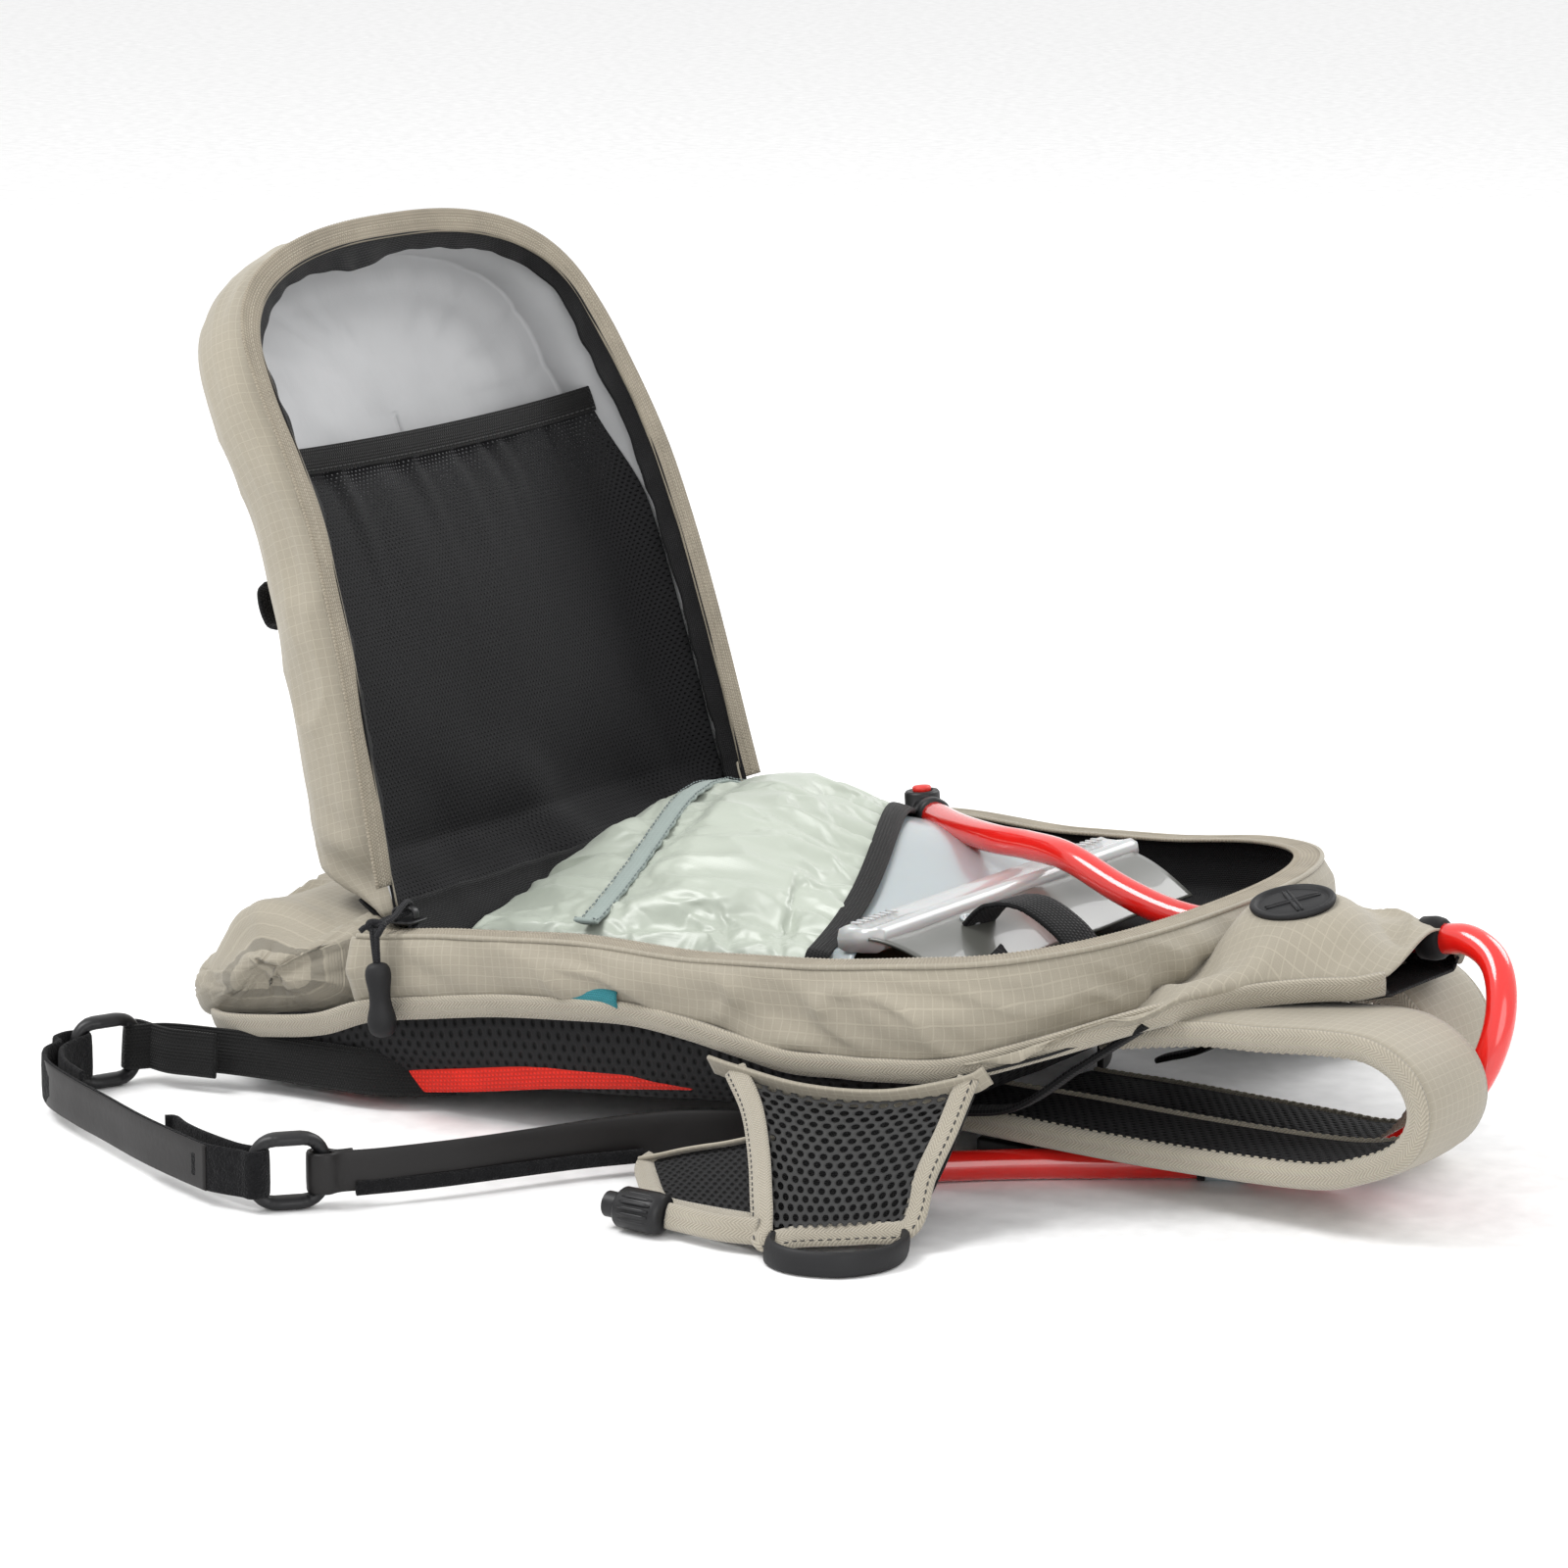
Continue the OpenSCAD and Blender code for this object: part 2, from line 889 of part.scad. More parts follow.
// a closed block between the sheet corners and the same corners pushed inward
module wing_block(a, b, c, d, v) {
    polyhedron(
        points = [a, b, c, d, a + v, b + v, c + v, d + v],
        faces = [[0, 1, 2], [0, 2, 3], [4, 6, 5], [4, 7, 6], [0, 5, 1], [0, 4, 5],
            [1, 6, 2], [1, 5, 6], [2, 7, 3], [2, 6, 7], [3, 4, 0], [3, 7, 4]]);
}

module wing_one() {
    color([0.06, 0.06, 0.06])
    on_floor()
    difference() {
        wing_block(wing_a, wing_b, wing_c, wing_d, wing_in);
        wing_block(
            wing_a + [5, 2, 6] + 0.2 * wing_in, wing_b + [-5, 3, 6] + 0.2 * wing_in,
            wing_c + [-5, 1.5, 3] + 0.2 * wing_in, wing_d + [3, 5, 4] + 0.2 * wing_in,
            0.6 * wing_in);
    }
}

module wing_near() {
    wing_one();
}

module wing_far() {
    far_side() wing_one();
}

module wing_loop_one() {
    color([0.05, 0.05, 0.05])
    on_floor()
    ribbon([for (p = [
        [82.6, -166.7], [87, -175], [98, -179], [112, -174], [119, -161], [117, -148],
        [110.9, -141.4]]) [p.x, p.y - grow_y]], 2.6, 0, 8);
}

module wing_loop_near() {
    wing_loop_one();
}

module wing_loop_far() {
    far_side() wing_loop_one();
}

lock_place = [30, -171 - grow_y, 7];

module lock_cord() {
    color([0.66, 0.62, 0.54])
    on_floor()
    ribbon([[78.8, -169 - grow_y], [66, -172 - grow_y], [46.8, -171 - grow_y]], 2.4, 3, 8);
}

module cord_lock() {
    color([0.04, 0.04, 0.04])
    on_floor()
    difference() {
        rod(lock_place, [1, 0], 16.5, 6.6);
        rod(lock_place - [1, 0, 0], [1, 0], 12, 4.3);
    }
}

module lock_button() {
    color([0.04, 0.04, 0.04])
    on_floor()
    rod(lock_place - [5, 0, 0], [1, 0], 11, 4);
}

body_tub();
tub_lining();
bottom_gusset();
hinge_seam();
back_mesh();
back_foam();
lumbar_pad();
back_webbing();
edge_binding();
side_tag();
neck_yoke();
hose_port();
neck_binding();
zip_body();
zip_lid();
zip_slider();
pull_cord();
pull_toggle();
lid_shell();
lid_lining();
lid_binding();
mesh_pocket();
pocket_elastic();
light_tab();
reservoir();
reservoir_sleeve();
sleeve_elastic();
sleeve_channel();
seal_slide();
hanger_strap();
reservoir_port();
port_button();
hose();
valve_body();
valve_lever();
bite_valve();
hose_keeper();
shoulder_near();
shoulder_far();
lifter_near();
lifter_far();
buckle_female();
buckle_male();
elastic_near();
elastic_far();
ring1_near();
ring1_far();
ring2_near();
ring2_far();
hook_strap_near();
hook_strap_far();
chest_arm_near();
chest_arm_far();
wing_near();
wing_far();
wing_loop_near();
wing_loop_far();
lock_cord();
cord_lock();
lock_button();
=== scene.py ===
import json
from math import atan2, cos, exp, pi, radians, sin, tan
import bmesh
import bpy
from mathutils import Matrix, Vector, noise


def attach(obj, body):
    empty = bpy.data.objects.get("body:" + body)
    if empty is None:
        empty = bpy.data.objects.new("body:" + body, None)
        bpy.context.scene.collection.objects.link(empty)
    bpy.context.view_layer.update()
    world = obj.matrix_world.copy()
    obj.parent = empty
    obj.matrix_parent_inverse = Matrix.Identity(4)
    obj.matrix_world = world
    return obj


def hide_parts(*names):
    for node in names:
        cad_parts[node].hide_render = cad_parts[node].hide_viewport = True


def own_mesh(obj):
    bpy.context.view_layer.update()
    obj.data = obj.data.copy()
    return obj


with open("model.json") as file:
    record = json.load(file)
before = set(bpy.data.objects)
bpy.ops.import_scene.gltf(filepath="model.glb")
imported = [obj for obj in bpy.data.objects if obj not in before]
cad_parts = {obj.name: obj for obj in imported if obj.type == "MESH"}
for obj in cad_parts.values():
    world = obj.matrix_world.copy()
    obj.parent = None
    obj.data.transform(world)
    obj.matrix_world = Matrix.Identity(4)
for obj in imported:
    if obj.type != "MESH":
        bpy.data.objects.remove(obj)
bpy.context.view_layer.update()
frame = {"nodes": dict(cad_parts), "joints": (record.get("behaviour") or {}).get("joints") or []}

MM = 0.001
UP = Vector((0, 0, 1))
ACROSS = Vector((0, 1, 0))

# ------------------------------------------------------------------ places
# Sizes are millimetres, in the pack's own tilted frame, the open panel's frame or on the floor.
JOINTS = {j["name"]: j for j in frame["joints"]}
HINGE = Vector(JOINTS["lid_hinge"]["pos_m"])
TILT = 5.0
LEAN = 19.0
CENTRE_X = -113 - HINGE.x / MM
PACK = Matrix.Translation(HINGE) @ Matrix.Rotation(radians(-TILT), 4, "Y") @ Matrix.Scale(MM, 4)
# The open panel's cloth is drawn up a little along the zip.
LID = (Matrix.Translation(HINGE) @ Matrix.Rotation(radians(-LEAN), 4, "Y") @ Matrix.Scale(MM, 4)
       @ Matrix.Diagonal((1, 1, 0.94, 1)))
FLOOR = Matrix.Scale(MM, 4) @ Matrix.Translation((-CENTRE_X, 0, 0))
MIRROR = Matrix.Scale(-1, 4, (0, 1, 0))

HALF0, HALF1, STRAIGHT, ROUND = 108.0, 96.0, 190.0, 55.0
LENGTH = STRAIGHT + ROUND
BAG_END, BAG_HALF = 150.0, 81.0
NECK_END = LENGTH + 77
HOSE_R = 4.8
WEB_HEIGHT = 15.0


def half_at(s):
    return HALF0 + (HALF1 - HALF0) * s / STRAIGHT


def clamp(x, a=0.0, b=1.0):
    return max(a, min(b, x))


def smooth(x, a=0.0, b=1.0):
    x = clamp((x - a) / (b - a))
    return x * x * (3 - 2 * x)


def lerp(a, b, t):
    return a + (b - a) * t


def arch(x):
    """Half a wave: 0 at 0 and 1, and 1 between them."""
    return sin(pi * x)


def table(x, rows):
    """Value at x on a smooth curve through rows of (x, value)."""
    if x <= rows[0][0]:
        return rows[0][1]
    for (x0, y0), (x1, y1) in zip(rows, rows[1:]):
        if x <= x1:
            return lerp(y0, y1, smooth(x, x0, x1))
    return rows[-1][1]


def ripple(x, y, z=0.0, scale=30.0):
    """Smooth noise from -1 to 1 whose folds are about scale millimetres apart."""
    return noise.noise(Vector((x, y, z)) / scale)


def creased(x, y, z=0.0, scale=30.0, sharp=6):
    """Soft ground with sharp branching ridges, about -0.6 to 1."""
    return 1.6 * (1 - abs(ripple(x, y, z, scale))) ** sharp - 0.6


class Path:
    """A line through points, read by its share of the length."""

    def __init__(self, points, loop=False):
        self.p = [Vector(q) if len(q) == 3 else Vector((q[0], q[1], 0)) for q in points]
        if loop:
            self.p.append(self.p[0].copy())
        self.d = [0.0]
        for a, b in zip(self.p, self.p[1:]):
            self.d.append(self.d[-1] + (b - a).length)
        self.length = self.d[-1]

    def at(self, t):
        x = clamp(t) * self.length
        lo, hi = 0, len(self.d) - 1
        while hi - lo > 1:
            mid = (lo + hi) // 2
            if self.d[mid] <= x:
                lo = mid
            else:
                hi = mid
        span = self.d[hi] - self.d[lo]
        return self.p[lo].lerp(self.p[hi], (x - self.d[lo]) / span if span else 0)

    def along(self, t, e=0.004):
        return (self.at(t + e) - self.at(t - e)).normalized()


def curve_through(points, steps=8):
    """Catmull-Rom points through the given ones."""
    p = [Vector(q) for q in points]
    p = [p[0] * 2 - p[1]] + p + [p[-1] * 2 - p[-2]]
    out = []
    for i in range(1, len(p) - 2):
        for k in range(steps):
            t = k / steps
            a, b, c, d = p[i - 1], p[i], p[i + 1], p[i + 2]
            out.append(0.5 * (2 * b + (c - a) * t + (2 * a - 5 * b + 4 * c - d) * t * t
                              + (3 * b - a - 3 * c + d) * t ** 3))
    out.append(p[-2])
    return out


def rim(off, s0=2.0, arc=72):
    """Outline of the zipped opening, grown by off, from the near hinge end to the far one."""
    pts = [Vector((s0, -half_at(s0) - off, 0))]
    for i in range(arc + 1):
        a = radians(-90 + 180 * i / arc)
        c, s = abs(cos(a)) ** 0.8, abs(sin(a)) ** 0.8 * (1 if a > 0 else -1)
        pts.append(Vector((STRAIGHT + (ROUND + off) * c, (HALF1 + off) * s, 0)))
    pts.append(Vector((s0, half_at(s0) + off, 0)))
    return Path(pts)


RIMS = {}


def rim_at(t, off, s0=2.0):
    """A point of the rim line grown by off, so that equal t lie across from each other."""
    if s0 not in RIMS:
        RIMS[s0] = (rim(-14, s0), rim(14, s0))
    inner, outer = RIMS[s0]
    return inner.at(t).lerp(outer.at(t), (off + 14) / 28)


# ------------------------------------------------------------------ meshes
def finish_mesh(obj, sub=0, thick=0.0):
    """Adds thickness and subdivision, and applies them."""
    if thick:
        m = obj.modifiers.new("t", "SOLIDIFY")
        m.thickness, m.offset = thick * MM, -1.0
    if sub:
        m = obj.modifiers.new("s", "SUBSURF")
        m.levels = m.render_levels = sub
    if obj.modifiers:
        deps = bpy.context.evaluated_depsgraph_get()
        made = bpy.data.meshes.new_from_object(obj.evaluated_get(deps))
        obj.modifiers.clear()
        obj.data = made
    work = bmesh.new()
    work.from_mesh(obj.data)
    bmesh.ops.recalc_face_normals(work, faces=work.faces)
    work.to_mesh(obj.data)
    work.free()
    obj.data.shade_smooth()


def relax(obj, times):
    """Evens out a mesh's facets."""
    work = bmesh.new()
    work.from_mesh(obj.data)
    for _ in range(times):
        bmesh.ops.smooth_vert(work, verts=work.verts, factor=0.5, use_axis_x=True, use_axis_y=True,
                              use_axis_z=True)
    work.to_mesh(obj.data)
    work.free()


def crumple(obj, depth, scale, sharp):
    """Pushes cloth in along soft branching creases, and out between them, along its normals."""
    mesh = obj.data
    moved = []
    for v in mesh.vertices:
        p = v.co / MM
        broad = ripple(p.x, p.y * 0.8, p.z * 1.3 + 7, scale)
        crease = (1 - abs(ripple(p.x * 1.1 + 40, p.y * 0.7, p.z * 1.2, scale * 0.7))) ** sharp
        moved.append(v.co + v.normal * ((broad - 1.2 * crease) * depth * MM))
    for v, co in zip(mesh.vertices, moved):
        v.co = co


def billow(obj, pressure, cap, held, grow=0.06, bend=0.02, frames=16):
    """Cloth simulation: slack fabric swells between its held points, and moves cap millimetres at most."""
    mesh = obj.data
    rest = [v.co.copy() for v in mesh.vertices]
    group = obj.vertex_groups.new(name="held")
    group.add([i for i, p in enumerate(rest) if held(i, p)], 1.0, "REPLACE")
    m = obj.modifiers.new("cloth", "CLOTH")
    m.settings.quality, m.settings.mass = 6, 0.15
    m.settings.use_pressure, m.settings.uniform_pressure_force = True, pressure
    m.settings.shrink_min = -grow
    m.settings.bending_stiffness = bend
    m.settings.tension_stiffness = m.settings.compression_stiffness = 12
    m.settings.vertex_group_mass = "held"
    m.settings.effector_weights.gravity = 0
    m.collision_settings.use_collision = False
    m.point_cache.frame_start, m.point_cache.frame_end = 1, frames
    for f in range(1, frames + 1):
        bpy.context.scene.frame_set(f)
    deps = bpy.context.evaluated_depsgraph_get()
    moved = [v.co.copy() for v in obj.evaluated_get(deps).data.vertices]
    obj.modifiers.clear()
    obj.vertex_groups.clear()
    for v, a, b in zip(mesh.vertices, rest, moved):
        step = b - a
        if step.length > cap * MM:
            step = step.normalized() * (cap * MM)
        v.co = a + step
    bpy.context.scene.frame_set(1)


def piece(name, verts, faces, mat, body="pack", cloth=None, slot=None, replaces="", **kw):
    """A mesh object on its body, with its material, in place of the named CAD nodes; slot is not used."""
    mesh = bpy.data.meshes.new(name)
    mesh.from_pydata([tuple(v) for v in verts], [], faces)
    mesh.update()
    if cloth:
        att = mesh.attributes.new("cloth", "FLOAT_VECTOR", "POINT")
        att.data.foreach_set("vector", [c for p in cloth for c in (p[0] * MM, p[1] * MM, 0.0)])
    obj = bpy.data.objects.new(name, mesh)
    bpy.context.scene.collection.objects.link(obj)
    mesh.materials.append(MAT[mat])
    finish_mesh(obj, **kw)
    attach(obj, body)
    if replaces:
        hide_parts(*replaces.split())
    return obj


def ring_faces(rows, n, turned=False):
    """Faces that join rows of n points into a closed form with both ends filled."""
    faces = [[i * n + j, (i + 1) * n + j, (i + 1) * n + (j + 1) % n, i * n + (j + 1) % n]
             for i in range(rows - 1) for j in range(n)]
    faces += [list(range(n)), [(rows - 1) * n + j for j in reversed(range(n))]]
    return [[f[0]] + f[:0:-1] if len(f) == 4 and turned else f[::-1] if turned else f for f in faces]


def surface(name, fn, nu, nv, place, mat, loop=False, cloth=None, **kw):
    """A sheet of nu by nv cells; fn(u, v) gives its points, in millimetres."""
    cols = nu if loop else nu + 1
    grid = [[Vector(fn(i / nu, j / nv)) for j in range(nv + 1)] for i in range(cols)]
    if cloth is None:
        row, col = grid[cols // 2], [g[nv // 2] for g in grid]
        vs, us = [0.0], [0.0]
        for a, b in zip(row, row[1:]):
            vs.append(vs[-1] + (b - a).length)
        for a, b in zip(col, col[1:]):
            us.append(us[-1] + (b - a).length)
        marks = [(us[i], vs[j]) for i in range(cols) for j in range(nv + 1)]
    else:
        marks = [cloth(i / nu, j / nv) for i in range(cols) for j in range(nv + 1)]
    verts = [place @ p for g in grid for p in g]
    n = nv + 1
    faces = [[i * n + j, (i + 1) % cols * n + j, (i + 1) % cols * n + j + 1, i * n + j + 1]
             for i in range(nu) for j in range(nv)]
    return piece(name, verts, faces, mat, cloth=marks, **kw)


def section(width, thick, round_off=0.45, crown=0.0):
    """Points round a flat strap's cross-section, as (across, out)."""
    r = thick * round_off
    w, h = width / 2 - r, thick / 2 - r
    pts = []
    for cx, cy, a0 in ((w, h, 0), (-w, h, 90), (-w, -h, 180), (w, -h, 270)):
        for k in range(3):
            a = radians(a0 + 45 * k)
            pts.append((cx + r * cos(a), cy + r * sin(a)))
    flat = []
    for (x0, y0), (x1, y1) in zip(pts, pts[1:] + pts[:1]):
        flat.append((x0, y0))
        if abs(x1 - x0) > width * 0.5:
            for k in (0.25, 0.5, 0.75):
                x = lerp(x0, x1, k)
                flat.append((x, lerp(y0, y1, k) + crown * (1 if y0 > 0 else -1)))
    return flat


def strip(name, path, across, width, thick, place, mat, steps=60, crown=0.0, shape=None, widths=None, **kw):
    """A strap along a path; across is its width's direction, fixed or by share of the length."""
    path = path if isinstance(path, Path) else Path(curve_through(path))
    ring = shape or section(width, thick, crown=crown)
    verts, marks = [], []
    for i in range(steps + 1):
        t = i / steps
        d = path.along(t)
        w = Vector(across(t) if callable(across) else across)
        w = (w - d * w.dot(d)).normalized()
        up = w.cross(d)
        k = widths(t) if widths else 1.0
        for x, y in ring:
            verts.append(place @ (path.at(t) + w * (x * k) + up * y))
            marks.append((t * path.length, x + (width if y < 0 else 0)))
    return piece(name, verts, ring_faces(steps + 1, len(ring)), mat, cloth=marks, **kw)


def tube(name, path, radius, place, mat, steps=60, sides=14, **kw):
    """A round cord along a path."""
    path = path if isinstance(path, Path) else Path(curve_through(path))
    verts, marks = [], []
    side = None
    for i in range(steps + 1):
        t = i / steps
        d = path.along(t)
        if side is None:
            side = d.orthogonal().normalized()
        side = (side - d * side.dot(d)).normalized()
        up = d.cross(side)
        for k in range(sides):
            a = 2 * pi * k / sides
            verts.append(place @ (path.at(t) + side * (radius * cos(a)) + up * (radius * sin(a))))
            marks.append((t * path.length, radius * a))
    return piece(name, verts, ring_faces(steps + 1, sides), mat, cloth=marks, **kw)


def lathe(name, profile, origin, axis, place, mat, sides=32, squeeze=1.0, **kw):
    """A turned shape: profile is (along, radius), in millimetres, along axis from origin."""
    d = Vector(axis).normalized()
    side = d.orthogonal().normalized()
    up = d.cross(side)
    verts = []
    for x, r in profile:
        for k in range(sides):
            a = 2 * pi * k / sides
            verts.append(place @ (Vector(origin) + d * x + side * (max(r, 0.02) * cos(a))
                                  + up * (max(r, 0.02) * squeeze * sin(a))))
    return piece(name, verts, ring_faces(len(profile), sides), mat, **kw)


def beads(name, items, place, mat, sides=6, **kw):
    """Many small round-ended rods in one mesh: items are (middle, direction, length, radius)."""
    verts, faces = [], []
    for middle, way, length, r in items:
        d = Vector(way).normalized()
        side = d.orthogonal().normalized()
        up = d.cross(side)
        at = len(verts)
        for x, k in ((-0.5, 0.55), (-0.32, 1.0), (0.32, 1.0), (0.5, 0.55)):
            for j in range(sides):
                a = 2 * pi * j / sides
                verts.append(place @ (Vector(middle) + d * (x * length)
                                      + (side * cos(a) + up * sin(a)) * (r * k)))
        for i in range(3):
            for j in range(sides):
                a, b = at + i * sides + j, at + i * sides + (j + 1) % sides
                faces.append([a, a + sides, b + sides, b])
        faces.append([at + j for j in range(sides)])
        faces.append([at + 3 * sides + j for j in reversed(range(sides))])
    return piece(name, verts, faces, mat, **kw)


def join(name, objs):
    """Makes one piece of several that share a body."""
    for o in bpy.context.selected_objects:
        o.select_set(False)
    for o in objs:
        o.select_set(True)
    bpy.context.view_layer.objects.active = objs[0]
    bpy.ops.object.join()
    objs[0].name = name
    return objs[0]


# ------------------------------------------------------------------ materials
class Graph:
    """A node material, with short calls for the maths that patterns need."""

    def __init__(self, name, base, rough, **fixed):
        self.m = bpy.data.materials.new(name)
        self.m.use_nodes = True
        self.t = self.m.node_tree
        self.bsdf = self.t.nodes["Principled BSDF"]
        self.bsdf.inputs["Base Color"].default_value = (*base, 1)
        self.bsdf.inputs["Roughness"].default_value = rough
        self.base = base
        for key, value in fixed.items():
            self.bsdf.inputs[key.replace("_", " ")].default_value = value

    def new(self, kind, **props):
        node = self.t.nodes.new(kind)
        for key, value in props.items():
            setattr(node, key, value)
        return node

    def link(self, a, b):
        self.t.links.new(a, b)

    def math(self, op, a, b=0.0, c=0.0):
        node = self.new("ShaderNodeMath", operation=op)
        for i, v in enumerate((a, b, c)):
            if isinstance(v, (int, float)):
                node.inputs[i].default_value = v
            else:
                self.link(v, node.inputs[i])
        return node.outputs[0]

    def cloth(self):
        """The fabric's own coordinates in millimetres, as two sockets."""
        att = self.new("ShaderNodeAttribute", attribute_name="cloth")
        split = self.new("ShaderNodeSeparateXYZ")
        self.link(att.outputs["Vector"], split.inputs[0])
        return self.math("MULTIPLY", split.outputs[0], 1000), self.math("MULTIPLY", split.outputs[1], 1000)

    def place(self):
        return self.new("ShaderNodeTexCoord").outputs["Object"]

    def noise(self, scale, detail=3.0, vector=None, stretch=None):
        tex = self.new("ShaderNodeTexNoise")
        tex.inputs["Scale"].default_value = scale
        tex.inputs["Detail"].default_value = detail
        vector = vector or self.place()
        if stretch:
            mapping = self.new("ShaderNodeMapping")
            mapping.inputs["Scale"].default_value = stretch
            self.link(vector, mapping.inputs["Vector"])
            vector = mapping.outputs[0]
        self.link(vector, tex.inputs["Vector"])
        return tex.outputs["Fac"]

    def ramp(self, fac, stops):
        node = self.new("ShaderNodeValToRGB")
        while len(node.color_ramp.elements) < len(stops):
            node.color_ramp.elements.new(0.5)
        for el, (pos, col) in zip(node.color_ramp.elements, stops):
            el.position = pos
            el.color = (*col, 1) if len(col) == 3 else col
        self.link(fac, node.inputs[0])
        return node.outputs[0]

    def wave(self, x, pitch):
        """A sine from 0 to 1 along x with the given pitch."""
        s = self.math("SINE", self.math("MULTIPLY", x, 2 * pi / pitch))
        return self.math("MULTIPLY_ADD", s, 0.5, 0.5)

    def lines(self, x, pitch, share):
        """1 on a line that takes that share of each pitch."""
        return self.math("LESS_THAN", self.math("FRACT", self.math("DIVIDE", x, pitch)), share)

    def tint(self, fac, low, high):
        """Base colour between low and high multiples of the base."""
        stops = [(0.0, [c * low for c in self.base]), (1.0, [min(1, c * high) for c in self.base])]
        self.link(self.ramp(fac, stops), self.bsdf.inputs["Base Color"])

    def rough(self, fac, low, high):
        self.link(self.math("MULTIPLY_ADD", fac, high - low, low), self.bsdf.inputs["Roughness"])

    def bump(self, height, depth, strength=1.0, after=None):
        node = self.new("ShaderNodeBump")
        node.inputs["Distance"].default_value = depth * MM
        node.inputs["Strength"].default_value = strength
        self.link(height, node.inputs["Height"])
        if after:
            self.link(after, node.inputs["Normal"])
        self.link(node.outputs[0], self.bsdf.inputs["Normal"])
        return node.outputs[0]


def ripstop(name, base, cell=3.1, rough=0.62):
    """Plain woven nylon with a raised yarn grid, soft creases and slight shade changes."""
    g = Graph(name, base, rough, Sheen_Weight=0.15, Sheen_Roughness=0.5, Specular_IOR_Level=0.35)
    u, v = g.cloth()
    grid = g.math("MAXIMUM", g.lines(u, cell, 0.13), g.lines(v, cell, 0.13))
    weave = g.math("MULTIPLY", g.wave(u, 0.55), g.wave(v, 0.55))
    patch = g.noise(38, 4)
    shade = g.math("MULTIPLY_ADD", patch, 0.5, g.math("MULTIPLY_ADD", grid, 0.38, 0.05))
    g.tint(g.math("MULTIPLY_ADD", weave, 0.12, shade), 0.78, 1.22)
    g.rough(patch, rough - 0.1, rough + 0.14)
    first = g.bump(g.noise(150, 5), 0.5, 0.5)
    height = g.math("MULTIPLY_ADD", weave, 0.35, grid)
    g.bump(height, 0.16, 0.8, after=first)
    return g.m


def herringbone(name, base, width=8.0):
    """Binding tape with a chevron twill along it."""
    g = Graph(name, base, 0.75, Sheen_Weight=0.3, Sheen_Roughness=0.5, Specular_IOR_Level=0.3)
    u, v = g.cloth()
    fold = g.math("ABSOLUTE", g.math("SUBTRACT", g.math("FRACT", g.math("DIVIDE", v, width * 0.5)), 0.5))
    slant = g.math("MULTIPLY_ADD", fold, width * 0.62, u)
    rib = g.wave(slant, 1.25)
    fine = g.wave(v, 0.5)
    g.tint(g.math("MULTIPLY_ADD", rib, 0.7, g.math("MULTIPLY", g.noise(60, 3), 0.4)), 0.72, 1.16)
    g.bump(g.math("MULTIPLY_ADD", fine, 0.25, rib), 0.22, 0.9)
    return g.m


def webbing(name, base, pitch=1.5, rough=0.7, ribs=0.0):
    """Woven webbing: a basket weave, with lengthwise ribs on elastic."""
    g = Graph(name, base, rough, Sheen_Weight=0.08, Sheen_Roughness=0.4, Specular_IOR_Level=0.16)
    u, v = g.cloth()
    half = g.math("MULTIPLY", g.math("FLOOR", g.math("DIVIDE", v, pitch)), pitch * 0.5)
    weave = g.math("MULTIPLY", g.wave(g.math("ADD", u, half), pitch), g.wave(v, pitch))
    if ribs:
        weave = g.math("MULTIPLY_ADD", g.wave(v, ribs), 0.8, weave)
    worn = g.noise(90, 4)
    g.tint(g.math("MULTIPLY_ADD", weave, 0.6, g.math("MULTIPLY", worn, 0.5)), 0.6, 1.6)
    g.rough(worn, rough - 0.08, rough + 0.1)
    g.bump(weave, 0.3, 0.9)
    return g.m


def netting(name, base, cell_u, cell_v, hole, open_above=None, rough=0.6, open_all=False, deep=0.5):
    """Knitted mesh: rows of round holes, each row set half a step on."""
    g = Graph(name, base, rough, Sheen_Weight=0.02, Sheen_Roughness=0.4, Specular_IOR_Level=0.12)
    u, v = g.cloth()
    row = g.math("FLOOR", g.math("DIVIDE", v, cell_v))
    x = g.math("ADD", g.math("DIVIDE", u, cell_u), g.math("MULTIPLY", row, 0.5))
    du = g.math("MULTIPLY", g.math("SUBTRACT", g.math("FRACT", x), 0.5), cell_u)
    dv = g.math("MULTIPLY", g.math("SUBTRACT", g.math("FRACT", g.math("DIVIDE", v, cell_v)), 0.5), cell_v)
    far = g.math("SQRT", g.math("ADD", g.math("MULTIPLY", du, du), g.math("MULTIPLY", dv, dv)))
    yarn = g.math("SMOOTH_MIN", g.math("DIVIDE", far, hole), 1.6, 0.2)
    inside = g.math("LESS_THAN", far, hole)
    twist = g.wave(g.math("ADD", u, v), 0.45)
    tone = g.math("MULTIPLY_ADD", yarn, 0.45, g.math("MULTIPLY", twist, 0.2))
    tone = g.math("ADD", tone, g.math("MULTIPLY", g.noise(70, 3), 0.25))
    # Painted shade: the holes, and the yarn toward them, are painted darker than the yarn. Where holes stay
    # shut (below open_above, or with no opening at all), this dark paint stands in for the shade seen through
    # them.
    g.tint(g.math("MULTIPLY_ADD", inside, -0.5, tone), 0.25, 2.0)
    g.bump(g.math("MULTIPLY_ADD", inside, -0.6, g.math("MULTIPLY_ADD", twist, 0.15, yarn)), deep, 0.9)
    if open_all or open_above is not None:
        hole_mask = inside
        if open_above is not None:
            level = g.math("ADD", v, g.math("MULTIPLY", g.noise(55, 2), 60))
            level = g.math("DIVIDE", g.math("SUBTRACT", level, open_above), 40)
            level = g.math("MINIMUM", g.math("MAXIMUM", level, 0.0), 1.0)
            hole_mask = g.math("LESS_THAN", far, g.math("MULTIPLY", level, hole))
        g.link(g.math("SUBTRACT", 1.0, hole_mask), g.bsdf.inputs["Alpha"])
    return g.m


